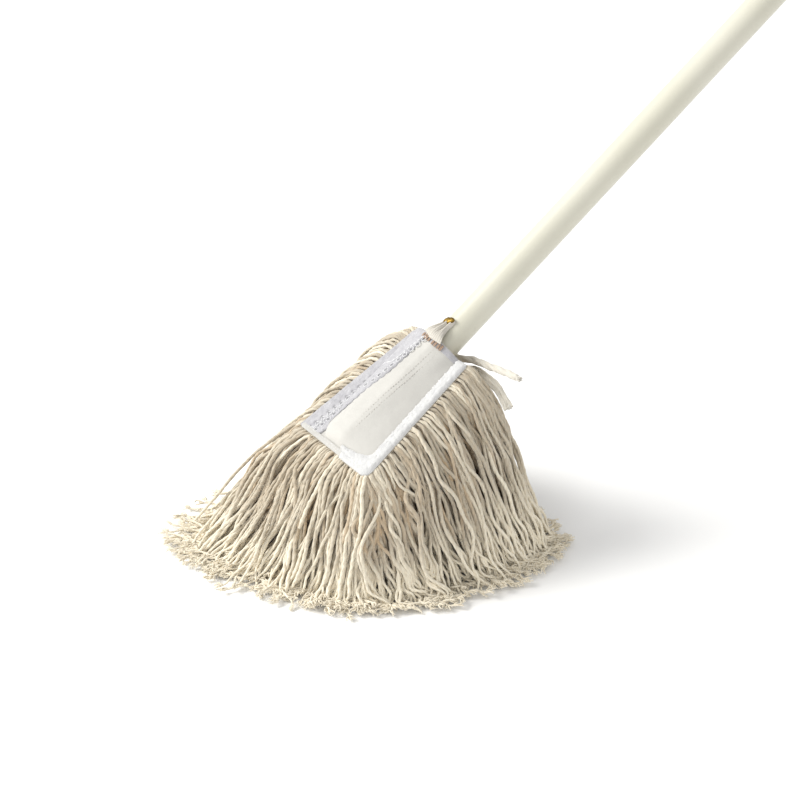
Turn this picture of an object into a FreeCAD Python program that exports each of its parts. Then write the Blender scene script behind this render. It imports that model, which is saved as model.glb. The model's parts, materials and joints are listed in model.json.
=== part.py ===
"""String mop with a slip-on pocket head: painted wooden handle, canvas pocket, cotton yarn fringe.

Millimetres, +Z up. The origin is on the floor under the middle of the pocket. The handle rises towards
+Y, the head's front edge faces -Y, and +X is the head's right side as the user sees it.

Two tilted frames carry nearly everything:
  head frame    x right, y up the pocket's slope, z out of the canvas; origin in the middle of the pocket
  handle frame  x right, y along the handle, z over its top; origin where the axis crosses the pocket's mouth
"""

import FreeCAD, Part
import math
import os
import Sketcher

Vector = FreeCAD.Vector
Rotation = FreeCAD.Rotation
Placement = FreeCAD.Placement
X_AXIS = Vector(1, 0, 0)
Y_AXIS = Vector(0, 1, 0)
Z_AXIS = Vector(0, 0, 1)
CUT_LENGTH = 400.0  # longer than any piece that a cutter has to pass through
PAST_MOUTH = 60.0  # how far the cutters that clear the pocket's mouth run out of it
LIGHT_GAP = 0.2  # room left between two pieces that lie beside each other

DIMENSIONS = {
    # the handle
    "handle_diameter": 28,
    "handle_above_mouth": 1080,
    "handle_inside_head": 112,
    "handle_pitch": 35,
    "cap_spigot_radius": 12.4,
    "cap_skirt_length": 22,
    "cap_solid_length": 18,
    "cap_play": 0.05,
    "end_chamfer": 2,
    "hang_hole_radius": 4,
    # the canvas pocket
    "panel_length": 136,
    "front_width": 109,
    "back_width": 81,
    "panel_pitch": 30.5,
    "panel_height": 145,
    "cloth": 1.2,
    "left_hem_width": 14,
    "right_hem_width": 9,
    "front_hem_width": 9,
    "hem_thickness": 1.0,
    "piping_radius": 1.1,
    "tape_width": 8,
    "tape_thickness": 2,
    # the wooden core that fills the pocket
    "core_radius": 29.8,
    "core_drop": 9.6,
    "core_depth": 16,
    "core_length": 124,
    "core_setback": 4,
    "core_nose": 15,
    "core_ease": 0.4,
    "rim_overhang": 3.4,
    "binding_width": 2.6,
    "binding_thickness": 2,
    # the nail and the loop that hooks over it
    "nail_reach": 22.6,
    "nail_shank_radius": 1.1,
    "nail_head_radius": 4.2,
    "nail_depth": 12,
    "loop_thickness": 1.4,
    "loop_base_width": 26,
    "loop_tip_width": 12,
    "loop_hole_radius": 2.2,
    "loop_height": 22.9,
    "loop_rest": 14.4,
    "loop_start": -1.5,
    "loop_crest_end": 7,
    "loop_foot": 16.5,
    "loop_tip_corner": 2.5,
    # the tie cord
    "tie_diameter": 6.5,
    "knot_radius": 6.2,
    "band_length": 52,
    "band_width": 9,
    "band_thickness": 1.5,
    "band_setback": 4,
    # screws that hold the core to the handle
    "screw_radius": 2,
    "screw_head_radius": 4,
    "screw_head_height": 2.5,
    "screw_length": 26,
    "screw_play": 0.05,
    # stitching threads
    "thread": 0.6,
    "bar_width": 2.2,
    "bar_length": 5,
    "bar_height": 0.5,
}

# The tie cord's two free ends: points of their routes in the handle frame, starting inside the knot.
TIE_LONG_ROUTE = [(2, 6, -21), (18, 13.5, -21), (37, 15.5, -20), (60, 18.8, -15.8), (82, 21.5, -16.5)]
TIE_SHORT_ROUTE = [(3, 1.6, -27.4), (21, 9.5, -28), (44, 9.8, -28.8), (62, 6.5, -33.5), (76, 0, -40.5)]
KNOT_CENTRE = (-3, 4.5, -23.2)


# ---------------------------------------------------------------- document, sheet and frames

os.makedirs("parts", exist_ok=True)
doc = FreeCAD.newDocument("string_mop")
sheet = doc.addObject("Spreadsheet::Sheet", "dims")
for row, (alias, number) in enumerate(DIMENSIONS.items(), start=1):
    sheet.set(f"A{row}", alias.replace("_", " "))
    sheet.set(f"B{row}", str(number))
    sheet.setAlias(f"B{row}", alias)
doc.recompute()


def size(alias):
    """A driving dimension as the sheet holds it."""
    return float(getattr(sheet, alias))


def tilt(degrees, base=Vector(0, 0, 0)):
    """A frame turned about X, with its origin at base."""
    return Placement(base, Rotation(X_AXIS, degrees))


WORLD = Placement()
HEAD = tilt(size("panel_pitch"), Vector(0, 0, size("panel_height")))
MOUTH = Vector(0, size("panel_length") / 2, 0)
HANDLE_IN_HEAD = tilt(size("handle_pitch") - size("panel_pitch"), MOUTH)
HANDLE = HEAD.multiply(HANDLE_IN_HEAD)
LIE_ALONG_Y = Rotation(X_AXIS, -90)  # turns a cylinder's own axis to +Y
LIE_ALONG_X = Rotation(Y_AXIS, 90)  # turns a cylinder's own axis to +X

nodes = []  # the finished sub-parts, in the order they are made


def finish(thing, name, frame):
    """Names a finished sub-part and stands it in its frame."""
    thing.Label = name
    thing.Placement = frame.multiply(thing.Placement)
    nodes.append(thing)
    return thing


# ---------------------------------------------------------------- helpers for bodies and solids


def origin_plane(body, role):
    return next(f for f in body.Origin.OriginFeatures if f.Role == role)


def outline(body, name, role, corners, offset=None):
    """A closed sketch on one of the body's own planes. Each corner is a pair of sheet expressions."""
    sketch = body.newObject("Sketcher::SketchObject", name)
    sketch.AttachmentSupport = [(origin_plane(body, role), "")]
    sketch.MapMode = "FlatFace"
    if offset:
        sketch.AttachmentOffset = offset
    values = [tuple(float(sheet.evalExpression(e)) for e in corner) for corner in corners]
    points = [Vector(u, v, 0) for u, v in values]
    count = len(points)
    for i in range(count):
        sketch.addGeometry(Part.LineSegment(points[i], points[(i + 1) % count]), False)
    for i in range(count):
        sketch.addConstraint(Sketcher.Constraint("Coincident", i, 2, (i + 1) % count, 1))
    for i, (across, up) in enumerate(corners):
        for kind, expression, value in (("DistanceX", across, points[i].x), ("DistanceY", up, points[i].y)):
            number = sketch.addConstraint(Sketcher.Constraint(kind, -1, 1, i, 1, value))
            sketch.setExpression(f"Constraints[{number}]", expression)
    return sketch


def padded_body(name, corners, length, role="XY_Plane", midplane=False, offset=None):
    """A body padded from one outline by a length given as a sheet expression."""
    body = doc.addObject("PartDesign::Body", name)
    pad = body.newObject("PartDesign::Pad", name + "_pad")
    pad.Profile = outline(body, name + "_outline", role, corners, offset)
    pad.setExpression("Length", length)
    pad.Midplane = midplane
    return body


def revolved_body(name, corners):
    """A body turned about its own Y axis from a half section in the XY plane (x is the radius)."""
    body = doc.addObject("PartDesign::Body", name)
    section = outline(body, name + "_section", "XY_Plane", corners)
    turn = body.newObject("PartDesign::Revolution", name + "_turn")
    turn.Profile = section
    turn.ReferenceAxis = (section, ["V_Axis"])
    turn.Angle = 360
    return body


def cylinder(name, radius, height, place):
    """A Part cylinder whose radius and height are sheet expressions."""
    made = doc.addObject("Part::Cylinder", name)
    made.setExpression("Radius", radius)
    made.setExpression("Height", height)
    made.Placement = place
    return made


def box(name, sides, place):
    """A Part box whose three sides are sheet expressions."""
    made = doc.addObject("Part::Box", name)
    for property_name, expression in zip(("Length", "Width", "Height"), sides):
        made.setExpression(property_name, expression)
    made.Placement = place
    return made


def join(name, things):
    made = doc.addObject("Part::MultiFuse", name)
    made.Shapes = things
    return made


def group(name, things):
    """Separate solids that share one node, such as a row of stitches."""
    made = doc.addObject("Part::Compound", name)
    made.Links = things
    return made


def cut(name, base, tool):
    made = doc.addObject("Part::Cut", name)
    made.Base = base
    made.Tool = tool
    return made


def common(name, first, second):
    made = doc.addObject("Part::MultiCommon", name)
    made.Shapes = [first, second]
    return made


def round_front(name, solid, radius):
    """Rounds the edge of a cylinder's front (its low end) by a radius given as a sheet expression."""
    doc.recompute()
    front_y = min(v.Point.y for v in solid.Shape.Vertexes)
    circles = [
        number
        for number, edge in enumerate(solid.Shape.Edges, start=1)
        if len(edge.Vertexes) == 1 and abs(edge.Vertexes[0].Point.y - front_y) < 1.0
    ]
    made = doc.addObject("Part::Fillet", name)
    made.Base = solid
    radius_now = float(sheet.evalExpression(radius))
    made.Edges = [(circles[0], radius_now, radius_now)]
    return made


# ---------------------------------------------------------------- cutters along the handle's axis


def along_handle(frame, start):
    """Where a cylinder about the core's centre line starts, start millimetres past the mouth."""
    return frame.multiply(Placement(Vector(0, start, -size("core_drop")), LIE_ALONG_Y))


FRONT_OF_CORE = -(size("core_setback") + size("core_length"))


def rounded_log(name, growth, end, frame):
    """The core's round outline grown by a cloth or a gap, with a rounded nose, from its nose to end."""
    grown = float(sheet.evalExpression(growth))
    log = doc.addObject("Part::Cylinder", name + "_log")
    log.setExpression("Radius", f"dims.core_radius + {growth}")
    log.Height = end - FRONT_OF_CORE + grown
    log.Placement = along_handle(frame, FRONT_OF_CORE - grown)
    return round_front(name, log, f"dims.core_nose + {growth}")


def slab(name, frame, bottom):
    """A big block with its underside at the given height of a frame."""
    corner = Vector(-CUT_LENGTH / 2, -CUT_LENGTH / 2, bottom)
    return box(name, (f"{CUT_LENGTH} mm",) * 3, frame.multiply(Placement(corner, Rotation())))


# ---------------------------------------------------------------- the handle and what is fixed to it

DRILLED_SCREWS = (-34, -88)  # how far in front of the mouth the two core screws stand


def upright(along, height, turned=False):
    """A place in the handle frame for a pin that stands up from the axis, or hangs head up."""
    return Placement(Vector(0, along, height), Rotation(X_AXIS, 180) if turned else Rotation())


def screw_parts(name, along, play):
    """A screw's head and shank, which enter the core from its flat underside."""
    low = -size("core_depth")
    head = cylinder(
        name + "_head",
        f"dims.screw_head_radius + {play}",
        f"dims.screw_head_height + {play}",
        upright(along, low),
    )
    shank = cylinder(
        name + "_shank",
        f"dims.screw_radius + {play}",
        f"dims.screw_length + {play}",
        upright(along, low),
    )
    return join(name, [head, shank])


def screw_holes(name):
    return join(name, [screw_parts(f"{name}_{-along}", along, "dims.screw_play") for along in DRILLED_SCREWS])


def make_handle_pole():
    """The painted wooden pole: chamfered at the bottom, stepped at the top for the cap."""
    radius = "dims.handle_diameter / 2"
    low = "-dims.handle_inside_head"
    top = "dims.handle_above_mouth"
    step = "dims.handle_above_mouth - dims.cap_skirt_length"
    blank = revolved_body(
        "pole_blank",
        [
            ("0 mm", low),
            (f"{radius} - dims.end_chamfer", low),
            (radius, f"{low} + dims.end_chamfer"),
            (radius, step),
            ("dims.cap_spigot_radius", step),
            ("dims.cap_spigot_radius", top),
            ("0 mm", top),
        ],
    )
    nail_hole = cylinder(
        "nail_hole",
        "dims.nail_shank_radius + dims.screw_play",
        "dims.nail_depth + 10",
        upright(size("nail_reach"), size("handle_diameter") / 2 - size("nail_depth")),
    )
    drills = join("pole_drills", [screw_holes("pole_screw_holes"), nail_hole])
    return finish(cut("handle_pole", blank, drills), "handle_pole", HANDLE)


def make_handle_core():
    """The rounded wooden block on the pole's end that fills the pocket: flat below, bored for the pole."""
    log = rounded_log("core_log", "0", -size("core_setback"), WORLD)
    above_floor = common("core_block", log, slab("core_floor", WORLD, -size("core_depth")))
    bore = cylinder(
        "core_bore",
        "dims.handle_diameter / 2 + dims.screw_play",
        f"{CUT_LENGTH} mm",
        Placement(Vector(0, -size("handle_inside_head") - size("screw_play"), 0), LIE_ALONG_Y),
    )
    bored = cut("core_bored", above_floor, bore)
    return finish(cut("handle_core", bored, screw_holes("core_screw_holes")), "handle_core", HANDLE)


def make_core_screws():
    """Two screws through the block's flat underside into the pole."""
    screws = [screw_parts(f"screw_{-along}", along, "0") for along in DRILLED_SCREWS]
    return finish(group("core_screws", screws), "core_screws", HANDLE)


def make_handle_cap():
    """The flush plastic cap on the pole's top: a skirt, a domed end in two slopes, a hole for a hook."""
    outer = "dims.handle_diameter / 2"
    inner = "dims.cap_spigot_radius + dims.cap_play"
    low = "dims.handle_above_mouth - dims.cap_skirt_length + dims.cap_play"
    floor = "dims.handle_above_mouth + dims.cap_play"
    top = "dims.handle_above_mouth + dims.cap_solid_length"
    blank = revolved_body(
        "cap_blank",
        [
            (inner, low),
            (outer, low),
            (outer, f"{top} - 7"),
            (f"{outer} - 2", f"{top} - 2.5"),
            (f"{outer} - 6.5", top),
            ("0 mm", top),
            ("0 mm", floor),
            (inner, floor),
        ],
    )
    hole = cylinder(
        "hang_hole",
        "dims.hang_hole_radius",
        "dims.handle_diameter * 2",
        Placement(
            Vector(-size("handle_diameter"), size("handle_above_mouth") + size("cap_solid_length") / 2, 0),
            LIE_ALONG_X,
        ),
    )
    return finish(cut("handle_cap", blank, hole), "handle_cap", HANDLE)


def make_nail():
    """The round-head brass nail on top of the handle, which the loop hooks under."""
    head_gap = 0.3
    head_rim = 0.9
    seat = size("loop_rest") + size("loop_thickness") + head_gap
    low = size("handle_diameter") / 2 - size("nail_depth")
    along = size("nail_reach")
    shank_length = seat - low + head_rim / 2
    shank = cylinder("nail_shank", "dims.nail_shank_radius", f"{shank_length} mm", upright(along, low))
    head = cylinder("nail_head", "dims.nail_head_radius", f"{head_rim} mm", upright(along, seat))
    crown = doc.addObject("Part::Cone", "nail_crown")
    crown.setExpression("Radius1", "dims.nail_head_radius")
    crown.setExpression("Radius2", "dims.nail_head_radius * 0.45")
    crown.Height = 1.3
    crown.Placement = upright(along, seat + head_rim)
    return finish(join("brass_nail", [shank, head, crown]), "brass_nail", HANDLE)


# ---------------------------------------------------------------- the canvas pocket

HALF_FRONT = "dims.front_width / 2"
HALF_BACK = "dims.back_width / 2"
HALF_LENGTH = "dims.panel_length / 2"
EDGE_SLANT = "(dims.front_width - dims.back_width) / (2 * dims.panel_length)"
TRAPEZOID = [
    (f"-{HALF_FRONT}", f"-{HALF_LENGTH}"),
    (HALF_FRONT, f"-{HALF_LENGTH}"),
    (HALF_BACK, HALF_LENGTH),
    (f"-{HALF_BACK}", HALF_LENGTH),
]


def lifted(height):
    """An attachment offset that raises a sketch off its plane."""
    return Placement(Vector(0, 0, height), Rotation())


def tunnel(name):
    """The room that the core slides in, open past the mouth."""
    log = rounded_log(name + "_log", "dims.core_ease", PAST_MOUTH, HANDLE_IN_HEAD)
    lowest = -size("core_depth") - size("core_ease")
    return common(name, log, slab(name + "_floor", HANDLE_IN_HEAD, lowest))


def make_pocket_top():
    """The upper canvas: flat margins with a rounded bulge over the core, open at the mouth."""
    margins = padded_body("top_margins", TRAPEZOID, "dims.cloth")
    log = rounded_log("top_bulge", "(dims.core_ease + dims.cloth)", size("rim_overhang"), HANDLE_IN_HEAD)
    bulge = common("top_bulge_half", log, slab("top_half", WORLD, 0))
    skin = join("top_skin", [margins, bulge])
    return finish(cut("pocket_top", skin, tunnel("top_tunnel")), "pocket_top", HEAD)


def make_pocket_base():
    """The lower canvas: the same margins, with a flat-bottomed trough under the core."""
    margins = padded_body("base_margins", TRAPEZOID, "dims.cloth", offset=lifted(-size("cloth")))
    log = rounded_log("base_bulge", "(dims.core_ease + dims.cloth)", 0, HANDLE_IN_HEAD)
    lowest = -size("core_depth") - size("core_ease") - size("cloth")
    trough = common("base_trough", log, slab("base_floor", HANDLE_IN_HEAD, lowest))
    lower_half = common("base_lower", trough, slab("base_half", WORLD, -CUT_LENGTH))
    skin = join("base_skin", [margins, lower_half])
    return finish(cut("pocket_base", skin, tunnel("base_tunnel")), "pocket_base", HEAD)


HEM_FOLDS = {"left": 1.0, "right": 1.8, "front": 1.4}  # how thick each hem is, in plain hems


def hem_trimmer(name):
    """The bulge with a small gap, cut out of whatever lies on the margins beside it."""
    return rounded_log(name, f"(dims.core_ease + dims.cloth + {LIGHT_GAP})", PAST_MOUTH, HANDLE_IN_HEAD)


def make_hem(name, corners, thickness):
    """One doubled strip of canvas along an edge, on top of the margins."""
    strip = padded_body(name + "_strip", corners, thickness, offset=lifted(size("cloth")))
    return finish(cut(name, strip, hem_trimmer(name + "_trim")), name, HEAD)


def make_hems():
    """The left, right and front hems, which meet along slanted ends at the front corners."""
    left_in = f"-{HALF_FRONT} + dims.left_hem_width"
    right_in = f"{HALF_FRONT} - dims.right_hem_width"
    front = f"-{HALF_LENGTH}"
    inner_front = f"-{HALF_LENGTH} + dims.front_hem_width"
    shift = f"dims.front_hem_width * {EDGE_SLANT}"
    make_hem(
        "left_hem",
        [
            (f"-{HALF_FRONT}", front),
            (left_in, front),
            (f"-{HALF_BACK} + dims.left_hem_width", HALF_LENGTH),
            (f"-{HALF_BACK}", HALF_LENGTH),
        ],
        f"dims.hem_thickness * {HEM_FOLDS['left']}",
    )
    make_hem(
        "right_hem",
        [
            (right_in, front),
            (HALF_FRONT, front),
            (HALF_BACK, HALF_LENGTH),
            (f"{HALF_BACK} - dims.right_hem_width", HALF_LENGTH),
        ],
        f"dims.hem_thickness * {HEM_FOLDS['right']}",
    )
    make_hem(
        "front_hem",
        [
            (left_in, front),
            (right_in, front),
            (f"{right_in} - {shift}", inner_front),
            (f"{left_in} + {shift}", inner_front),
        ],
        f"dims.hem_thickness * {HEM_FOLDS['front']}",
    )


def make_mouth_binding():
    """The narrow binding round the pocket's open rim."""
    rim = "dims.core_radius + dims.core_ease"
    start = along_handle(HANDLE_IN_HEAD, size("rim_overhang") + LIGHT_GAP / 2)
    ring = cylinder("binding_ring", f"{rim} + dims.binding_thickness", "dims.binding_width", start)
    hole = cylinder("binding_hole", f"{rim} + {LIGHT_GAP / 2}", f"{CUT_LENGTH} mm", start)
    arch = common("binding_arch", cut("binding_band", ring, hole), slab("binding_half", WORLD, 0))
    return finish(arch, "mouth_binding", HEAD)


def make_heading_tape():
    """The tape under the margins that the yarn is sewn to, along the left, front and right edges."""
    inner_front = f"-{HALF_LENGTH} + dims.tape_width"
    inset = f"dims.tape_width * (1 + {EDGE_SLANT})"
    low = -size("cloth") - size("tape_thickness") - LIGHT_GAP / 2
    strip = padded_body(
        "heading_strip",
        [
            (f"-{HALF_FRONT}", f"-{HALF_LENGTH}"),
            (HALF_FRONT, f"-{HALF_LENGTH}"),
            (HALF_BACK, HALF_LENGTH),
            (f"{HALF_BACK} - dims.tape_width", HALF_LENGTH),
            (f"{HALF_FRONT} - {inset}", inner_front),
            (f"-{HALF_FRONT} + {inset}", inner_front),
            (f"-{HALF_BACK} + dims.tape_width", HALF_LENGTH),
            (f"-{HALF_BACK}", HALF_LENGTH),
        ],
        "dims.tape_thickness",
        offset=lifted(low),
    )
    return finish(cut("heading_tape", strip, hem_trimmer("heading_trim")), "heading_tape", HEAD)


def edge_corner(side, end):
    """A corner of the panel in the head frame: side -1 left or 1 right, end -1 front or 1 back."""
    width = size("front_width") if end < 0 else size("back_width")
    return Vector(side * width / 2, end * size("panel_length") / 2, 0)


def rod_between(name, start, end, radius):
    """A round rod from one point to another."""
    rod = doc.addObject("Part::Cylinder", name)
    rod.setExpression("Radius", radius)
    rod.Height = (end - start).Length
    rod.Placement = Placement(start, Rotation(Z_AXIS, end - start))
    return rod


def make_edge_piping():
    """The cord that finishes the left, front and right edges, where the yarn comes out."""
    away = size("piping_radius") + LIGHT_GAP
    spread = Vector(away, 0, 0)
    forward = Vector(0, -away, 0)
    corners = [
        edge_corner(-1, 1) - spread,
        edge_corner(-1, -1) - spread + forward,
        edge_corner(1, -1) + spread + forward,
        edge_corner(1, 1) + spread,
    ]
    pieces = []
    for i in range(3):
        pieces.append(rod_between(f"piping_{i}", corners[i], corners[i + 1], "dims.piping_radius"))
    for i in (1, 2):
        ball = doc.addObject("Part::Sphere", f"piping_corner_{i}")
        ball.setExpression("Radius", "dims.piping_radius")
        ball.Placement = Placement(corners[i], Rotation())
        pieces.append(ball)
    return finish(join("edge_piping", pieces), "edge_piping", HEAD)


# ---------------------------------------------------------------- stitching


def seam_thread(name, start, end, height):
    """One straight row of stitches on the margins, as a single flat thread."""
    run = end - start
    turn = Rotation(X_AXIS, run)
    corner = start + turn.multVec(Vector(0, -size("thread") / 2, 0)) + Vector(0, 0, height)
    return box(name, (f"{run.Length} mm", "dims.thread", "dims.thread / 2"), Placement(corner, turn))


# For each hem: how far its rows stand from the edge.
ROW_INSETS = {"left": (3.0, 6.0, 9.0, 12.0), "right": (3.0, 6.0), "front": (3.0, 5.5)}
ROW_END_GAP = 4.0  # rows stop this far short of the hem's end
FULL_ROW_STOP = 14.0  # the left hem's outer rows stop this far short of the mouth
SHORT_ROW_STOP = 52.0  # its inner rows stop where the bulge covers them
THREAD_LIFT = 0.02  # threads lie just clear of the cloth


def stitch_height(side):
    """How high the threads on a hem lie over the panel's middle."""
    return size("cloth") + size("hem_thickness") * HEM_FOLDS[side] + THREAD_LIFT


def make_left_stitching():
    """The wide hem's four rows."""
    rows = []
    for i, inset in enumerate(ROW_INSETS["left"]):
        stop = FULL_ROW_STOP if i < 2 else SHORT_ROW_STOP
        start = edge_corner(-1, -1) + Vector(inset, ROW_END_GAP, 0)
        end = edge_corner(-1, 1) + Vector(inset, -stop, 0)
        rows.append(seam_thread(f"left_row_{i}", start, end, stitch_height("left")))
    finish(group("left_stitching", rows), "left_stitching", HEAD)


def make_right_stitching():
    rows = []
    for i, inset in enumerate(ROW_INSETS["right"]):
        start = edge_corner(1, -1) + Vector(-inset, ROW_END_GAP, 0)
        end = edge_corner(1, 1) + Vector(-inset, -ROW_END_GAP, 0)
        rows.append(seam_thread(f"right_row_{i}", start, end, stitch_height("right")))
    finish(group("right_stitching", rows), "right_stitching", HEAD)


def make_front_stitching():
    """Two rows across the front, between the side hems."""
    rows = []
    for i, inset in enumerate(ROW_INSETS["front"]):
        start = edge_corner(-1, -1) + Vector(size("left_hem_width") + ROW_END_GAP, inset, 0)
        end = edge_corner(1, -1) + Vector(-size("right_hem_width") - ROW_END_GAP, inset, 0)
        rows.append(seam_thread(f"front_row_{i}", start, end, stitch_height("front")))
    finish(group("front_stitching", rows), "front_stitching", HEAD)


def on_bulge(name, angle, along, sides):
    """A flat block that lies on the bulge, angle degrees round from its crest towards +X.

    Its sides are its width across, its length along the handle and its thickness.
    """
    radius = size("core_radius") + size("core_ease") + size("cloth") + 0.75 * LIGHT_GAP
    turn = Rotation(Y_AXIS, angle)
    corner = Vector(0, along, -size("core_drop")) + turn.multVec(Vector(-sides[0] / 2, 0, radius))
    return box(name, [f"{side} mm" for side in sides], Placement(corner, turn))


def make_crest_stitching():
    """Two rows of stitches along the crest of the bulge."""
    half_angle = 4.0
    row_start = -104.0
    sides = (size("thread"), 92.0, size("thread") / 2)
    rows = []
    for i, angle in enumerate((-half_angle, half_angle)):
        rows.append(on_bulge(f"crest_row_{i}", angle, row_start, sides))
    return finish(group("crest_stitching", rows), "crest_stitching", HANDLE)


def make_bar_tack():
    """The short brown bars side by side across the rim, which hold the loop's tape."""
    count = 8
    first_angle = -12.0
    step = 6.4
    bar_start = -7.0
    sides = (size("bar_width"), size("bar_length"), size("bar_height"))
    bars = [on_bulge(f"bar_{i}", first_angle + i * step, bar_start, sides) for i in range(count)]
    return finish(group("bar_tack", bars), "bar_tack", HANDLE)


# ---------------------------------------------------------------- the loop that hooks over the nail


def make_hook_loop():
    """A tape loop that runs over the rim and down to the nail, tapering, with a hole for the shank."""
    thick = "dims.loop_thickness"
    high = "dims.loop_height"
    low = "dims.loop_rest"
    start = "dims.loop_start"
    crest = "dims.loop_crest_end"
    foot = "dims.loop_foot"
    end = "dims.nail_reach + dims.loop_tip_width / 2"
    bend = 0.5  # how far the top of each bend stands past its underside
    # In the YZ plane the sketch's own axes are the handle frame's y and z.
    side_view = padded_body(
        "loop_side_view",
        [
            (start, high),
            (crest, high),
            (foot, low),
            (end, low),
            (end, f"{low} + {thick}"),
            (f"{foot} + {bend}", f"{low} + {thick}"),
            (f"{crest} + {bend}", f"{high} + {thick}"),
            (start, f"{high} + {thick}"),
        ],
        "dims.loop_base_width",
        role="YZ_Plane",
        midplane=True,
    )
    half_base = "dims.loop_base_width / 2"
    half_tip = "dims.loop_tip_width / 2"
    corner = f"{end} - dims.loop_tip_corner"
    plan_view = padded_body(
        "loop_plan_view",
        [
            (f"-{half_base}", start),
            (half_base, start),
            (half_tip, foot),
            (half_tip, corner),
            (f"{half_tip} - dims.loop_tip_corner", end),
            (f"-{half_tip} + dims.loop_tip_corner", end),
            (f"-{half_tip}", corner),
            (f"-{half_tip}", foot),
        ],
        f"{CUT_LENGTH} mm",
    )
    tape = common("loop_tape", side_view, plan_view)
    hole = cylinder("loop_hole", "dims.loop_hole_radius", f"{CUT_LENGTH} mm", upright(size("nail_reach"), 0))
    return finish(cut("hook_loop", tape, hole), "hook_loop", HANDLE)


# ---------------------------------------------------------------- the tie cord


def rounded_route(points):
    """Straight runs joined by tangent arcs through a route's points; returns the edges and the radii."""
    spots = [Vector(*p) for p in points]
    edges = []
    radii = []
    at = spots[0]
    for before, here, after in zip(spots, spots[1:], spots[2:]):
        inward = (here - before).normalize()
        outward = (after - here).normalize()
        half_turn = inward.getAngle(outward) / 2
        trim = 0.45 * min((here - before).Length, (after - here).Length)
        radii.append(trim / math.tan(half_turn))
        start = here - inward * trim
        end = here + outward * trim
        to_centre = (outward - inward).normalize()
        middle = here + to_centre * (radii[-1] / math.cos(half_turn) - radii[-1])
        edges.append(Part.LineSegment(at, start).toShape())
        edges.append(Part.Arc(start, middle, end).toShape())
        at = end
    edges.append(Part.LineSegment(at, spots[-1]).toShape())
    return edges, radii


def make_tie_end(name, route):
    """One free end of the soft tie cord, a plain tube along its route."""
    edges, radii = rounded_route(route)
    path = Part.Wire(edges)
    radius = size("tie_diameter") / 2
    direction = (Vector(*route[1]) - Vector(*route[0])).normalize()
    ring = Part.Wire(Part.makeCircle(radius, Vector(*route[0]), direction))
    tube = path.makePipeShell([ring], True, False)
    expected = math.pi * radius**2 * path.Length
    print(f"{name}: radii {[round(r, 1) for r in radii]} mm, length {path.Length:.1f} mm")
    if min(radii) < 3 * size("tie_diameter") or abs(tube.Volume / expected - 1) > 0.01:
        raise ValueError(f"{name} bends too tightly, or its volume isn't its section times its length")
    made = doc.addObject("Part::Feature", name)
    made.Shape = tube
    return finish(made, name, HANDLE)


def make_tie_knot():
    """The knot under the handle that both free ends come out of."""
    knot = doc.addObject("Part::Ellipsoid", "tie_knot")
    for radius, share in (("Radius1", 0.95), ("Radius2", 1.15), ("Radius3", 1.0)):
        knot.setExpression(radius, f"dims.knot_radius * {share}")
    knot.Placement = Placement(Vector(*KNOT_CENTRE), Rotation())
    return finish(knot, "tie_knot", HANDLE)


def make_tie_band():
    """The flat tape sewn across the underside of the mouth, which the tie cord is knotted to."""
    low = -size("core_depth") - size("core_ease") - size("cloth") - size("band_thickness") - LIGHT_GAP
    corner = Vector(-size("band_length") / 2, -size("band_setback") - size("band_width"), low)
    sides = ("dims.band_length", "dims.band_width", "dims.band_thickness")
    return finish(box("tie_band", sides, Placement(corner, Rotation())), "tie_band", HANDLE)


# ---------------------------------------------------------------- the yarn, as plain solids

STRAND_SPREAD = {"back": 86, "side": 84, "front": 118}  # how far out the strands' ends lie on the floor
EDGE_CLEARANCE = 3.6  # the yarn solids start this far out, clear of the piping


def station(share, heading, spread, sink=0.0):
    """A yarn section on the right edge: its point, heading, spread and how far under the edge it starts.

    The share runs from 0 at the front corner to 1 at the back corner. The heading is in degrees from +X
    towards +Y, seen from above.
    """
    front = edge_corner(1, -1)
    point = front + (edge_corner(1, 1) - front) * share
    return HEAD.multVec(point), math.radians(heading), spread, sink


def middle_station(end, heading, spread, sink=0.0):
    """The same for the middle of the front edge (end -1) or of the mouth (end 1)."""
    point = Vector(0, end * size("panel_length") / 2, 0)
    return HEAD.multVec(point), math.radians(heading), spread, sink


def mirrored(stations):
    """The same stations on the other side of the head, in the reverse order."""
    return [
        (Vector(-point.x, point.y, point.z), math.pi - heading, spread, sink)
        for point, heading, spread, sink in reversed(stations)
    ]


def drape(edge_height, spread, drop, shift):
    """How the strands fall: (distance out, height) pairs from the edge to the floor.

    The drop is how far under the edge the drape starts, and the shift how far short of the spread it ends.
    They fall on a slope that is shallow at first, steeper in the middle, and flat again on the floor.
    """
    return [
        (EDGE_CLEARANCE, edge_height - drop),
        (0.34 * spread - 0.6 * shift, 0.88 * edge_height - 0.6 * drop),
        (0.68 * spread - shift, 0.50 * edge_height - 0.2 * drop),
        (0.92 * spread - shift, 0.10 * edge_height),
        (spread - shift, 0.0),
    ]


def yarn_section(place, outer, inner):
    """A closed upright section of a yarn layer between two drapes, each a (drop, shift) pair."""
    point, heading, spread, sink = place
    out = Vector(math.cos(heading), math.sin(heading), 0)
    high = point.z - sink
    profile = drape(high, spread, *outer) + drape(high, spread, *inner)[::-1]
    corners = [Vector(point.x, point.y, 0) + out * reach + Vector(0, 0, height) for reach, height in profile]
    return Part.makePolygon(corners + corners[:1])


# Each layer's outside and inside drapes, as (drop, shift) pairs.
OUTER_LAYER = ((1.0, 0.0), (13.0, 17.0))
INNER_LAYER = ((14.5, 19.0), (27.0, 38.0))
BACK_LAYER = ((0.0, 0.0), (22.0, 30.0))


def make_yarn(name, places, layer):
    """A yarn layer: ruled surfaces through its sections."""
    made = doc.addObject("Part::Feature", name)
    made.Shape = Part.makeLoft([yarn_section(p, *layer) for p in places], True, True)
    return finish(made, name, WORLD)


def corner_section():
    """The section at the front right corner that the side and front layers share."""
    return station(0, 322, 0.5 * (STRAND_SPREAD["side"] + STRAND_SPREAD["front"]))


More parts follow.
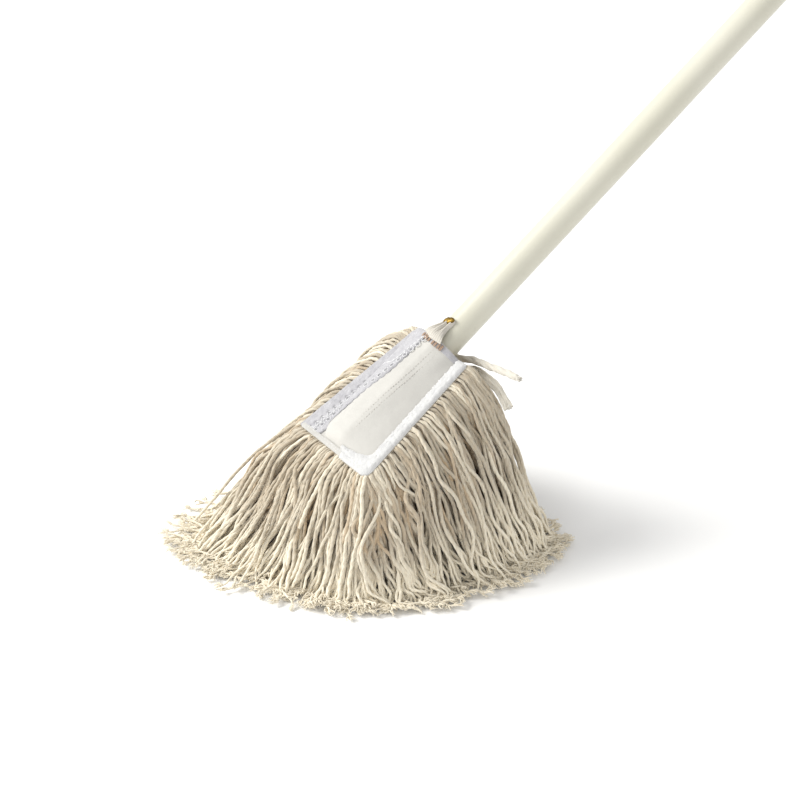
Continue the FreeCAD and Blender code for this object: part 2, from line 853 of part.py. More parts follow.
def right_places():
    """Sections from the front right corner round to behind the back right corner."""
    side = STRAND_SPREAD["side"]
    back = STRAND_SPREAD["back"]
    return [
        corner_section(),
        station(0.12, 344, side + 10),
        station(0.5, 358, side),
        station(0.9, 12, side),
        station(1, 32, back, 2.0),
        station(1, 56, back, 12.0),
    ]


def front_places():
    """Sections from the front left corner across the front edge to the front right corner."""
    half = [station(0, 285, STRAND_SPREAD["front"]), corner_section()]
    return mirrored(half) + [middle_station(-1, 270, STRAND_SPREAD["front"])] + half


def back_places():
    """Sections across the back, under the handle, where the strands hang from the lower canvas."""
    spread = STRAND_SPREAD["back"] - 8
    lower_canvas = 34.0
    corner = station(1, 60, spread, lower_canvas)
    return [corner, middle_station(1, 90, spread, lower_canvas)] + mirrored([corner])


def make_yarn_layers():
    sides = (("left", mirrored(right_places())), ("front", front_places()), ("right", right_places()))
    for side, places in sides:
        make_yarn(f"yarn_{side}_outer", places, OUTER_LAYER)
        make_yarn(f"yarn_{side}_inner", places, INNER_LAYER)
    make_yarn("yarn_back", back_places(), BACK_LAYER)


def make_yarn_under():
    """The yarn in the middle, from the lower canvas down to the flat patch that rests on the floor."""
    room_under_canvas = 4.0
    lowest = -size("core_depth") - size("core_ease") - size("cloth") - room_under_canvas
    top_outline = ((-34, -124), (34, -124), (30, -14), (-30, -14))
    foot_outline = ((-72, -124), (72, -124), (62, 66), (-62, 66))
    top = [HANDLE.multVec(Vector(x, y, lowest)) for x, y in top_outline]
    foot = [Vector(x, y, 0) for x, y in foot_outline]
    made = doc.addObject("Part::Feature", "yarn_under")
    loops = [Part.makePolygon(corners + corners[:1]) for corners in (foot, top)]
    made.Shape = Part.makeLoft(loops, True, True)
    return finish(made, "yarn_under", WORLD)


# ---------------------------------------------------------------- make, check and write


def check(thing):
    """Raises if a sub-part failed to build."""
    shape = thing.Shape
    if shape.isNull() or not shape.isValid() or not shape.Solids:
        raise ValueError(f"{thing.Label} has no valid shape")
    print(f"{thing.Label}: {len(shape.Solids)} solid(s), {shape.Volume / 1000:.2f} cm3")


make_handle_pole()
make_handle_core()
make_core_screws()
make_handle_cap()
make_nail()
make_pocket_top()
make_pocket_base()
make_hems()
make_mouth_binding()
make_heading_tape()
make_edge_piping()
make_left_stitching()
make_right_stitching()
make_front_stitching()
make_crest_stitching()
make_bar_tack()
make_hook_loop()
make_tie_band()
make_tie_knot()
make_tie_end("tie_end_long", TIE_LONG_ROUTE)
make_tie_end("tie_end_short", TIE_SHORT_ROUTE)
make_yarn_layers()
make_yarn_under()
doc.recompute()

for item in doc.Objects:
    if "Invalid" in item.State or "Error" in item.State:
        raise ValueError(f"{item.Name} failed: {item.State}")
for node in nodes:
    check(node)
for node in nodes:
    node.Shape.exportStep(f"parts/{node.Label}.step")
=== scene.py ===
"""The looks of the string mop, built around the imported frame.

Metres, in the row's own frame: +Z up, the handle rises towards +Y, the head's front edge faces -Y.
Two tilted frames carry nearly everything, as in the design:
  head frame    x right, y up the pocket's slope, z out of the canvas; origin in the middle of the pocket
  handle frame  x right, y along the handle, z over its top; origin where the axis crosses the mouth
"""

import json
import math

import bpy
import numpy as np
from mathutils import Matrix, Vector, noise


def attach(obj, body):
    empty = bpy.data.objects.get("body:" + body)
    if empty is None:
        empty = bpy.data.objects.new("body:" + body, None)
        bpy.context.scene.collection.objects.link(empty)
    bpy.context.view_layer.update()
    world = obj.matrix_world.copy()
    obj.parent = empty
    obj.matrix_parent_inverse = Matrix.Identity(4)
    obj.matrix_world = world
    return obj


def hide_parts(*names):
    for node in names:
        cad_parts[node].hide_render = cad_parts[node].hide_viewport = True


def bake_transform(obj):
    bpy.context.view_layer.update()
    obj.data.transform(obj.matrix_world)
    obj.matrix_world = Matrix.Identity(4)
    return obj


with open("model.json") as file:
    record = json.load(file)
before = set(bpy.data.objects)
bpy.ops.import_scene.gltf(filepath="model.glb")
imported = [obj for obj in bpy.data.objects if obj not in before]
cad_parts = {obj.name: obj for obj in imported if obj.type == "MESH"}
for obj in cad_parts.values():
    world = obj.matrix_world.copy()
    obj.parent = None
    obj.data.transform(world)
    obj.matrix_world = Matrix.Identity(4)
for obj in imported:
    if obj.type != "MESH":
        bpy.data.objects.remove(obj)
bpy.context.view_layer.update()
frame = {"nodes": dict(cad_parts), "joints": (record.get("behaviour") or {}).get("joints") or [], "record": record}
scene = bpy.context.scene
nodes = frame["nodes"]
FULL_TURN = 2 * math.pi

# ---------------------------------------------------------------- sizes

PANEL_PITCH = math.radians(30.5)
HALF_LENGTH = 0.068  # the pocket panel, along the handle
HALF_FRONT = 0.0545
HALF_BACK = 0.0405
FRONT_ROUND = {-1: 0.003, 1: 0.0065}  # the radius of the left and right front corners
CLOTH = 0.0012
CORE_RADIUS = 0.0298
CORE_DROP = 0.0096
CORE_DEPTH = 0.016
CORE_NOSE = 0.015
CORE_FRONT = -0.128  # the core's nose, along the handle from the mouth
CORE_EASE = 0.0004
SKIN_RADIUS = CORE_RADIUS + CORE_EASE + CLOTH  # the outside of the canvas over the core
SKIN_FRONT = HALF_LENGTH + CORE_FRONT - CORE_EASE - CLOTH  # the canvas's nose, in the head frame
RIM = 0.0004  # how far the canvas runs past the mouth
GRIP_PAST_MOUTH = 0.7  # where the handle_grip mount stands, along the handle from the mouth
YARN_RADIUS = 0.00158
PIPING_TWIST = 0.006  # metres for one turn of its plies
TIE_DIAMETER = 0.0065
NAIL_ALONG = 0.0226  # the nail's place, along the handle from the mouth

# The tie cord's two free ends, in the handle frame: the same points as in the design.
TIE_LONG_ROUTE = [
    (0.002, 0.006, -0.021),
    (0.018, 0.0135, -0.021),
    (0.037, 0.0155, -0.020),
    (0.060, 0.0188, -0.0158),
    (0.082, 0.0215, -0.0165),
]
TIE_SHORT_ROUTE = [
    (0.003, 0.0016, -0.0274),
    (0.021, 0.0095, -0.028),
    (0.044, 0.0098, -0.0288),
    (0.062, 0.0065, -0.0335),
    (0.076, 0.0, -0.0405),
]
KNOT_CENTRE = (-0.003, 0.0045, -0.0232)


# ---------------------------------------------------------------- frames


class Tilted:
    """A frame turned about X, with its origin at base."""

    def __init__(self, base, pitch):
        cosine, sine = math.cos(pitch), math.sin(pitch)
        self.base = np.array(base, float)
        self.turn = np.array([[1, 0, 0], [0, cosine, -sine], [0, sine, cosine]])

    def world(self, points):
        return self.direction(points) + self.base

    def direction(self, vectors):
        return np.asarray(vectors, float) @ self.turn.T


pull = next(joint for joint in frame["joints"] if joint["name"] == "handle_pull")
grip = next(mount for mount in frame["record"]["mounts"] if mount["name"] == "handle_grip")
HANDLE_PITCH = math.atan2(pull["axis"][2], pull["axis"][1])
MOUTH = np.array(grip["pos_m"]) - GRIP_PAST_MOUTH * np.array(pull["axis"])
HANDLE = Tilted(MOUTH, HANDLE_PITCH)
HEAD = Tilted(MOUTH - Tilted((0, 0, 0), PANEL_PITCH).world((0, HALF_LENGTH, 0)), PANEL_PITCH)
LEAN = HANDLE_PITCH - PANEL_PITCH  # how much steeper the handle is than the panel


# ---------------------------------------------------------------- camera and light

VIEW_AZIMUTH = math.radians(55.8)
VIEW_ELEVATION = math.radians(30)
VIEW_WIDTH = 0.7224  # how much the picture shows across at the pocket
AIM_SHIFT = 0.0117  # the pocket's middle stands this far left of the picture's middle
LENS = 100.0
SENSOR = 36.0
LIGHT_SIZE = 2.6
ROOM_STRENGTH = 0.70


def view_axes():
    """Right, up and back of the camera."""
    sine, cosine = math.sin(VIEW_AZIMUTH), math.cos(VIEW_AZIMUTH)
    low, high = math.cos(VIEW_ELEVATION), math.sin(VIEW_ELEVATION)
    right = Vector((cosine, sine, 0))
    back = Vector((sine * low, -cosine * low, high))
    return right, back.cross(right), back


def placed(name, data, location, ahead):
    """An object in the scene that looks along ahead."""
    made = bpy.data.objects.new(name, data)
    scene.collection.objects.link(made)
    made.location = location
    made.rotation_mode = "QUATERNION"
    made.rotation_quaternion = ahead.to_track_quat("-Z", "Y")
    return made


def make_camera():
    right, _, back = view_axes()
    data = bpy.data.cameras.new("camera")
    data.lens = LENS
    data.sensor_width = SENSOR
    aim = Vector(HEAD.base) + right * AIM_SHIFT
    scene.camera = placed("camera", data, aim + back * (VIEW_WIDTH * LENS / SENSOR), -back)


def area_light(name, offset, power, colour):
    """A square soft light, offset from the head by metres along the camera's right, up and back."""
    data = bpy.data.lights.new(name, "AREA")
    data.size = LIGHT_SIZE
    data.energy = power
    data.color = colour
    away = sum((axis * amount for axis, amount in zip(view_axes(), offset)), Vector())
    placed(name, data, Vector(HEAD.base) + away, -away)


def make_lights():
    """A big soft key from the camera's left and above, a weak fill, and a white room."""
    area_light("key", (-4.2, 3.2, 1.4), 350, (1.0, 0.99, 0.965))
    area_light("fill", (1.2, -1.3, 3.2), 30, (1.0, 0.985, 0.96))
    world = bpy.data.worlds.new("studio")
    world.use_nodes = True
    background = world.node_tree.nodes["Background"]
    background.inputs["Color"].default_value = (1.0, 1.0, 1.0, 1)
    background.inputs["Strength"].default_value = ROOM_STRENGTH
    scene.world = world
    scene.view_settings.view_transform = "Standard"
    scene.view_settings.look = "None"


# ---------------------------------------------------------------- materials

INTO_HEAD = (-PANEL_PITCH, 0, 0)
INTO_HANDLE = (-HANDLE_PITCH, 0, 0)


def faded(colour, share):
    return tuple(channel * share for channel in colour)


class Surface:
    """A Principled material and the few node patterns that its maker strings together.

    Every value is a plain number or colour, or another node's output.
    """

    def __init__(self, name, colour, roughness, metallic=0.0, sheen=0.0, specular=0.5):
        self.material = bpy.data.materials.new(name)
        self.material.use_nodes = True
        self.tree = self.material.node_tree
        self.shader = self.tree.nodes["Principled BSDF"]
        self.fill(self.shader, Base_Color=colour, Roughness=roughness, Metallic=metallic)
        self.fill(self.shader, Specular_IOR_Level=specular)
        if sheen:
            self.fill(self.shader, Sheen_Weight=sheen, Sheen_Roughness=0.6)
        self.place = self.tree.nodes.new("ShaderNodeTexCoord").outputs["Object"]
        self.height = None

    def put(self, socket, value):
        if isinstance(value, bpy.types.NodeSocket):
            self.tree.links.new(value, socket)
        elif isinstance(value, tuple):
            socket.default_value = (*value, 1)[: len(socket.default_value)]
        else:
            socket.default_value = value

    def fill(self, node, **values):
        for name, value in values.items():
            self.put(node.inputs[name.replace("_", " ")], value)

    def node(self, kind, output=0, **values):
        """A new node's output, by number or name, with the given values in its inputs."""
        node = self.tree.nodes.new("ShaderNode" + kind)
        self.fill(node, **values)
        return node.outputs[output]

    def mapped(self, turn=(0, 0, 0), scale=(1, 1, 1)):
        """Object coordinates, turned and scaled."""
        return self.node("Mapping", Vector=self.place, Rotation=turn, Scale=scale)

    def noise(self, scale, detail=3.0, where=None, rough=0.5):
        where = where or self.place
        return self.node("TexNoise", "Fac", Vector=where, Scale=scale, Detail=detail, Roughness=rough)

    def waves(self, scale, direction, where, distortion):
        """Bands of the given scale; a wave texture repeats every pi / (10 * scale)."""
        bands = self.node("TexWave", "Fac", Vector=where, Scale=scale, Distortion=distortion)
        bands.node.bands_direction = direction
        return bands

    def attribute(self, name, output="Fac"):
        made = self.node("Attribute", output)
        made.node.attribute_name = name
        return made

    def maths(self, operation, *values):
        made = self.node("Math")
        made.node.operation = operation
        for socket, value in zip(made.node.inputs, values):
            self.put(socket, value)
        return made

    def ramp(self, factor, *stops):
        """A colour ramp; stops are (position, colour)."""
        made = self.node("ValToRGB", "Color", Fac=factor)
        elements = made.node.color_ramp.elements
        while len(elements) < len(stops):
            elements.new(0.5)
        for element, (position, colour) in zip(elements, stops):
            element.position = position
            element.color = (*colour, 1)
        return made

    def mix(self, factor, first, second):
        """Runs from the first colour to the second as the factor runs from 0 to 1."""
        node = self.tree.nodes.new("ShaderNodeMix")
        node.data_type = "RGBA"
        self.put(node.inputs["Factor"], factor)
        for socket, value in zip([s for s in node.inputs if s.type == "RGBA"], (first, second)):
            self.put(socket, value)
        return next(s for s in node.outputs if s.type == "RGBA")

    def tinted(self, base, factor, share, colour):
        """The base with a share of another colour where the factor is high."""
        return self.mix(self.maths("MULTIPLY", factor, share), base, colour)

    def finish(self, colour, rough=None, low=0.0, high=1.0):
        """Sets the colour, and a roughness from low to high as rough runs from 0 to 1."""
        self.fill(self.shader, Base_Color=colour)
        if rough:
            spread = self.node("MapRange", "Result", Value=rough, To_Min=low, To_Max=high)
            self.fill(self.shader, Roughness=spread)
        return self

    def bump(self, source, metres):
        """Adds a bump whose full height is given in metres."""
        made = self.node("Bump", Distance=metres, Strength=1.0, Height=source)
        if self.height:
            self.put(made.node.inputs["Normal"], self.height)
        self.height = made
        self.fill(self.shader, Normal=made)
        return self


def woven(name, colour, shade, pitch, depth, turn=INTO_HEAD):
    """Plain weave: threads pitch apart both ways, in a frame that lies along the cloth."""
    surface = Surface(name, colour, 0.85, sheen=0.15, specular=0.25)
    flat = surface.mapped(turn)
    threads = [surface.waves(math.pi / (10 * pitch), direction, flat, 0.4) for direction in "XY"]
    threads = surface.maths("MULTIPLY", *threads)
    slubs = surface.noise(900, 2, surface.mapped(turn, (1, 0.15, 1)))
    tone = surface.ramp(surface.noise(28, 4), (0.3, shade), (0.62, colour))
    dirty = surface.tinted(tone, slubs, 0.25, faded(colour, 0.9))
    # painted shade: the gaps between the threads are tinted towards a darker shade colour
    painted_gap_shade = surface.maths("SUBTRACT", 1.0, threads)
    surface.finish(surface.tinted(dirty, painted_gap_shade, 0.14, faded(shade, 0.72)), slubs, 0.78, 0.95)
    return surface.bump(threads, depth).bump(slubs, depth * 0.6)


def painted_wood():
    """Cream gloss paint over turned wood: faint lengthwise grain, brush marks, dust specks."""
    surface = Surface("cream_paint", (0.595, 0.58, 0.49), 0.36)
    grain = surface.noise(520, 5, surface.mapped(INTO_HANDLE, (1, 0.035, 1)), 0.6)
    tone = surface.ramp(surface.noise(9, 3), (0.35, (0.595, 0.58, 0.485)), (0.65, (0.63, 0.615, 0.53)))
    surface.finish(surface.tinted(tone, grain, 0.16, (0.52, 0.495, 0.39)), grain, 0.28, 0.46)
    surface.fill(surface.shader, Coat_Weight=0.10, Coat_Roughness=0.22)
    return surface.bump(grain, 0.00012).bump(surface.noise(160, 2), 0.00006)


def bare_wood():
    """Planed pine with rings that run along the handle."""
    surface = Surface("bare_pine", (0.66, 0.47, 0.28), 0.62, specular=0.3)
    along = surface.mapped(INTO_HANDLE, (1, 0.05, 1))
    fibres = surface.noise(700, 4, along)
    rings = surface.waves(38, "X", along, 4.0)
    tone = surface.ramp(rings, (0.1, (0.70, 0.52, 0.32)), (0.8, (0.52, 0.34, 0.17)))
    surface.finish(surface.tinted(tone, fibres, 0.4, (0.40, 0.25, 0.12)), fibres, 0.5, 0.8)
    return surface.bump(fibres, 0.0002)


def zinc():
    surface = Surface("zinc_steel", (0.62, 0.62, 0.60), 0.38, metallic=1.0)
    spangle = surface.noise(700, 3)
    tone = surface.ramp(spangle, (0.3, (0.48, 0.48, 0.47)), (0.7, (0.70, 0.70, 0.68)))
    return surface.finish(tone, spangle, 0.28, 0.5).bump(surface.noise(1800, 2), 0.00004)


def moulded_plastic():
    surface = Surface("cream_plastic", (0.60, 0.58, 0.50), 0.45)
    mould = surface.noise(1500, 2)
    tone = surface.ramp(surface.noise(40, 2), (0.3, (0.58, 0.56, 0.475)), (0.7, (0.62, 0.60, 0.53)))
    return surface.finish(tone, mould, 0.38, 0.55).bump(mould, 0.00005)


def aged_brass():
    surface = Surface("aged_brass", (0.30, 0.19, 0.045), 0.5, metallic=1.0)
    tarnish = surface.noise(520, 4)
    tone = surface.ramp(tarnish, (0.3, (0.08, 0.05, 0.014)), (0.66, (0.29, 0.185, 0.04)))
    return surface.finish(tone, tarnish, 0.62, 0.42).bump(surface.noise(900, 2), 0.00012)


def thread(name, colour, shade):
    """Sewing thread with fine fibres."""
    surface = Surface(name, colour, 0.6, sheen=0.3, specular=0.3)
    fibres = surface.noise(2600, 3)
    return surface.finish(surface.ramp(fibres, (0.3, shade), (0.65, colour))).bump(fibres, 0.00012)


def terry(name, colour, shade, holes=None):
    """Doubled soft cotton with a fuzzy face, and painted shade in its needle holes if given that shade's colour.
    """
    surface = Surface(name, colour, 0.92, sheen=0.5, specular=0.15)
    loops = surface.noise(1100, 4, surface.mapped(INTO_HEAD, (1, 0.6, 1)), 0.65)
    tone = surface.ramp(surface.noise(130, 3), (0.3, shade), (0.6, colour))
    fuzzy = surface.tinted(tone, loops, 0.42, faded(shade, 0.72))
    if holes:
        # painted shade: near-black where the hole attribute marks a needle hole
        fuzzy = surface.mix(surface.attribute("hole"), fuzzy, holes)
    return surface.finish(fuzzy, loops, 0.85, 1.0).bump(loops, 0.0007)


def cotton_strand(name, light, dark, tip, plies, pitch, groove=0.3):
    """Twisted cotton: helical plies from the strand's own along and turn attributes."""
    surface = Surface(name, light, 0.9, sheen=0.35, specular=0.12)
    phase = surface.maths("MULTIPLY", surface.attribute("along"), FULL_TURN * plies / pitch)
    turn = surface.node("SeparateXYZ", Vector=surface.attribute("turn", "Vector")).node.outputs
    first = surface.maths("MULTIPLY", surface.maths("SINE", phase), turn[0])
    helix = surface.maths("MULTIPLY_ADD", surface.maths("COSINE", phase), turn[1], first)
    ply = surface.maths("MULTIPLY_ADD", helix, 0.5, 0.5)
    fibres = surface.noise(1500, 3, None, 0.6)
    # low tones run to the dark colour, which on the yarn is a warm brown painted shade for its deep strands; tone
    # 1 runs to the tip colour, painted light on the yarn's lower strands and tips and on the tie's cut-end fibres
    tone = surface.ramp(surface.attribute("tone"), (0.0, dark), (0.55, light), (1.0, tip))
    clouded = surface.tinted(tone, surface.noise(45, 3), 0.16, dark)
    # painted shade: darker in the grooves between the helical plies
    painted_groove_shade = surface.tinted(clouded, surface.maths("SUBTRACT", 1.0, ply), groove, dark)
    surface.finish(surface.tinted(painted_groove_shade, fibres, 0.14, dark), fibres, 0.82, 0.98)
    return surface.bump(ply, 0.0004).bump(fibres, 0.0003)


CANVAS = woven("canvas_weave", (0.585, 0.573, 0.538), (0.54, 0.528, 0.496), 0.00085, 0.00012)
HEM_WHITE = terry("white_terry", (0.69, 0.69, 0.68), (0.60, 0.60, 0.60))
HEM_PLAIN = woven("folded_cotton", (0.57, 0.56, 0.53), (0.49, 0.48, 0.45), 0.0008, 0.00015)
# the near-black last colour is painted shade in the band's needle holes
HEM_BLUE = terry("quilted_cotton", (0.51, 0.505, 0.525), (0.39, 0.385, 0.41), (0.07, 0.07, 0.08))
TAPE = woven("cotton_tape", (0.76, 0.71, 0.60), (0.64, 0.58, 0.47), 0.0012, 0.0002)
WEBBING = woven("ribbed_webbing", (0.64, 0.61, 0.55), (0.54, 0.505, 0.44), 0.0009, 0.00015, INTO_HANDLE)
WHITE_THREAD = thread("white_thread", (0.66, 0.66, 0.67), (0.52, 0.52, 0.55))
PALE_THREAD = thread("pale_thread", (0.74, 0.74, 0.74), (0.56, 0.56, 0.58))
SEAM_THREAD = thread("seam_thread", (0.60, 0.58, 0.53), (0.54, 0.515, 0.465))
BROWN_THREAD = thread("brown_thread", (0.42, 0.29, 0.205), (0.27, 0.17, 0.11))
# the dark colour is a warm brown painted shade for the deep strands; the near-white tip colour is painted light
# for the lower strands and tips
YARN = cotton_strand(
    "cotton_yarn", (0.468, 0.426, 0.342), (0.53, 0.40, 0.255), (0.98, 0.925, 0.77), 2, 0.014, 0.22
)
TIE = cotton_strand("soft_cord", (0.67, 0.645, 0.58), (0.49, 0.44, 0.35), (0.70, 0.675, 0.62), 2, 0.024, 0.2)
PIPING = cotton_strand(
    "piping_cord", (0.50, 0.44, 0.35), (0.32, 0.26, 0.18), (0.56, 0.50, 0.42), 2, PIPING_TWIST
)


# ---------------------------------------------------------------- mesh helpers


def quad_piece(name, points, quads, surface, body="mop_head", triangles=(), attributes=(), stands_for=None):
    """A mesh piece from arrays, which rides on its body.

    The attributes are (name, type, values) for the points; stands_for is the CAD node and its material slot; the
    slot is not used.
    """
    mesh = bpy.data.meshes.new(name)
    quads = np.asarray(quads, np.int32).reshape(-1, 4)
    triangles = np.asarray(triangles, np.int32).reshape(-1, 3)
    corners = np.concatenate([quads.ravel(), triangles.ravel()])
    starts = np.concatenate([np.arange(len(quads)) * 4, quads.size + np.arange(len(triangles)) * 3])
    mesh.vertices.add(len(points))
    mesh.vertices.foreach_set("co", np.asarray(points, np.float32).ravel())
    mesh.loops.add(len(corners))
    mesh.loops.foreach_set("vertex_index", corners.astype(np.int32))
    mesh.polygons.add(len(starts))
    mesh.polygons.foreach_set("loop_start", starts.astype(np.int32))
    mesh.update(calc_edges=True)
    mesh.polygons.foreach_set("use_smooth", np.ones(len(starts), bool))
    for label, kind, values in attributes:
        field = "vector" if kind == "FLOAT_VECTOR" else "value"
        layer = mesh.attributes.new(label, kind, "POINT")
        layer.data.foreach_set(field, np.asarray(values, np.float32).ravel())
    mesh.materials.append(surface.material)
    piece = bpy.data.objects.new(name, mesh)
    scene.collection.objects.link(piece)
    if body:
        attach(piece, body)
    if stands_for:
        stand_in(piece, *stands_for)
    return piece


def stand_in(piece, node, slot):
    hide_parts(node)


def thicken(piece, metres, outward=-1.0):
    """Gives an open sheet its thickness."""
    solid = piece.modifiers.new("thickness", "SOLIDIFY")
    solid.thickness = metres
    solid.offset = outward
    return solid


def grid_quads(rows, columns, wrap=False):
    """Faces of a grid of rows by columns of points; wrap joins the last column to the first."""
    across = columns if wrap else columns - 1
    row, column = np.meshgrid(np.arange(rows - 1), np.arange(across), indexing="ij")
    after = (column + 1) % columns
    a = row * columns + column
    b = row * columns + after
    return np.stack([a, b, b + columns, a + columns], axis=-1).reshape(-1, 4)


def closed_faces(rows, columns):
    """Quads and cap triangles of a closed tube of rings; its two end centres come last among its points."""
    count = rows * columns
    edge = np.arange(columns)
    after = (edge + 1) % columns
    first = np.stack([np.full(columns, count), after, edge], axis=-1)
    last = np.stack([np.full(columns, count + 1), count - columns + edge, count - columns + after], axis=-1)
    return grid_quads(rows, columns, wrap=True), np.concatenate([first, last])


def with_ends(points, columns):
    """The points of a tube's rings with the middles of its first and last ring."""
    return np.concatenate([points, points[:columns].mean(axis=0)[None], points[-columns:].mean(axis=0)[None]])


def unit(vectors):
    return vectors / np.maximum(np.linalg.norm(vectors, axis=-1, keepdims=True), 1e-12)


def lengths_along(paths):
    steps = np.linalg.norm(np.diff(paths, axis=-2), axis=-1)
    return np.concatenate([np.zeros_like(steps[..., :1]), np.cumsum(steps, axis=-1)], axis=-1)


def spaced(line, count=None, step=0.001):
    """Evenly spaced points along a line: so many, or about a step apart."""
    line = np.array(line, float)
    along = lengths_along(line)
    at = np.linspace(0, along[-1], count or max(3, int(along[-1] / step)))
    return np.stack([np.interp(at, along, column) for column in line.T], axis=-1)


def carried_frames(paths):
    """Normal and binormal along each path, with no needless twist."""
    tangents = unit(np.gradient(paths, axis=1))
    normals = np.empty_like(paths)
    normals[:, 0] = unit(np.cross(tangents[:, 0], np.array([0.31, 0.17, 0.93])))
    for k in range(1, paths.shape[1]):
        last = normals[:, k - 1]
        along = np.sum(last * tangents[:, k], axis=-1, keepdims=True)
        normals[:, k] = unit(last - along * tangents[:, k])
    return normals, np.cross(tangents, normals)


def tubes(paths, radii, sides, lobes=0, depth=0.0, pitch=1.0, shift=0.0):
    """Closed tubes round many centre lines: paths is strands x rings x 3, radii strands x rings.

    The lobes turn once round in each pitch, and shift starts the turn elsewhere; with none, the strand has
    no plies to show. Returns points, quads, triangles and each point's along and turn values.
    """
    strands, rings, _ = paths.shape
    normals, binormals = carried_frames(paths)
    along = lengths_along(paths)
    angles = FULL_TURN * np.arange(sides) / sides
    phase = (FULL_TURN * along / pitch + np.reshape(shift, (-1, 1)))[:, :, None]
    reach = radii[:, :, None] * (1 + depth * np.cos(lobes * (angles - phase)))
    points = paths[:, :, None, :] + (reach * np.cos(angles))[..., None] * normals[:, :, None, :]
    points = points + (reach * np.sin(angles))[..., None] * binormals[:, :, None, :]
    everything = np.concatenate([points.reshape(strands, -1, 3), paths[:, [0, -1]]], axis=1)
    each = rings * sides + 2
    quads, triangles = closed_faces(rings, sides)
    offsets = (np.arange(strands) * each)[:, None, None]
    turn = np.zeros((strands, each, 3))
    if lobes:
        turn[:, :-2, 0] = np.tile(np.cos(2 * angles), rings)
        turn[:, :-2, 1] = np.tile(-np.sin(2 * angles), rings)
    return {
        "points": everything.reshape(-1, 3),
        "quads": (quads[None] + offsets).reshape(-1, 4),
        "triangles": (triangles[None] + offsets).reshape(-1, 3),
        "along": for_points(along, sides),
        "turn": turn.reshape(-1, 3),
        "each": each,
        "sides": sides,
    }


def for_points(values, sides):
    """A value for each ring of each strand, given to the ring's points and the two end centres."""
    return np.concatenate([np.repeat(values, sides, axis=1), values[:, [0, -1]]], axis=1).ravel()


def with_tone(made, tone):
    """Gives a tube set its tones: one number, one for each strand, or one for each ring of each strand."""
    strands = len(made["points"]) // made["each"]
    tone = np.asarray(tone, float)
    if tone.ndim < 2:
        made["tone"] = np.repeat(np.broadcast_to(tone, (strands,)), made["each"])
    else:
        made["tone"] = for_points(tone, made["sides"])
    return made


def joined(parts):
    """Several tube sets as one."""
    starts = np.cumsum([0] + [len(part["points"]) for part in parts[:-1]])
    kept = ("points", "along", "turn", "tone")
    total = {key: np.concatenate([part[key] for part in parts]) for key in kept}
    for key in ("quads", "triangles"):
        total[key] = np.concatenate([part[key] + start for part, start in zip(parts, starts)])
    return total


def tube_piece(name, node, slot, made, surface):
    kinds = {"along": "FLOAT", "turn": "FLOAT_VECTOR", "tone": "FLOAT"}
    return quad_piece(
        name, made["points"], made["quads"], surface, triangles=made["triangles"],
        attributes=[(label, kind, made[label]) for label, kind in kinds.items()], stands_for=(node, slot),
    )


def ease(value, start, end):
    """0 before start, 1 after end, smooth between."""
    share = np.clip((np.asarray(value, float) - start) / (end - start), 0, 1)
    return share * share * (3 - 2 * share)


def wobble(points, scale, seed=0.0):
    """Smooth noise from -1 to 1 at each point; scale is the size of its lumps."""
    shift = Vector((seed, seed * 0.7, -seed))
    return np.array([noise.noise(Vector(point) / scale + shift) for point in points])


def shares(rows, columns, low=0):
    """How far up and how far across each point of a grid is; low is where the columns start."""
    return np.meshgrid(np.linspace(0, 1, rows), np.linspace(low, 1, columns), indexing="ij")


def on_plane(x, y, z=0.0):
    """Points in a tilted frame, one to a row."""
    return np.stack(np.broadcast_arrays(x, y, z), axis=-1).reshape(-1, 3)


def near_ends(count, start, end):
    """Rises from 0 to 1 away from both ends of a run of rows, over the rows from start to end."""
    rows = np.arange(count)
    return ease(np.minimum(rows, rows[::-1]), start, end)


# ---------------------------------------------------------------- the pocket's shape

BULGE_FRONT = -0.0632  # where the bulge begins, in the head frame
RIGHT_MARGIN = 0.0100  # from the panel's edge to the bulge's foot
NOSE_LENGTH = 0.0135
CORNER_LENGTH = 0.019  # how far the nose's corners are rounded back
CORNER_STEPS = 7
CREST_REACH = 0.0070  # how far right of the middle the bulge stays full
CREST_SWELL = 0.0022  # how much padding stands on the crest
SLOPE_ROUND = 0.04


def edge_x(y):
    """Half the panel's width at y in the head frame."""
    share = (np.asarray(y) + HALF_LENGTH) / (2 * HALF_LENGTH)
    return HALF_FRONT + (HALF_BACK - HALF_FRONT) * share


def core_centre(y):
    """Height of the core's centre line over the panel's plane."""
    return (np.asarray(y) - HALF_LENGTH) * math.tan(LEAN) - CORE_DROP


def skin_radius_at(y):
    """The bulge's radius, which closes in towards its rounded nose."""
    short = np.clip(CORE_NOSE - (np.asarray(y) - SKIN_FRONT), 0, CORE_NOSE)
    return SKIN_RADIUS - CORE_NOSE + np.sqrt(np.maximum(CORE_NOSE**2 - short**2, 0))


def soft_max(first, second, width):
    """The larger of two heights, rounded where they meet."""
    near = np.maximum(width - np.abs(first - second), 0) / width
    return np.maximum(first, second) + near * near * width / 4


def quarter_round(y, length):
    """Rises from 0 at the bulge's front to 1 a length behind it, like a quarter of an ellipse."""
    return np.sqrt(1 - (1 - np.clip((y - BULGE_FRONT) / length, 0, 1)) ** 2)


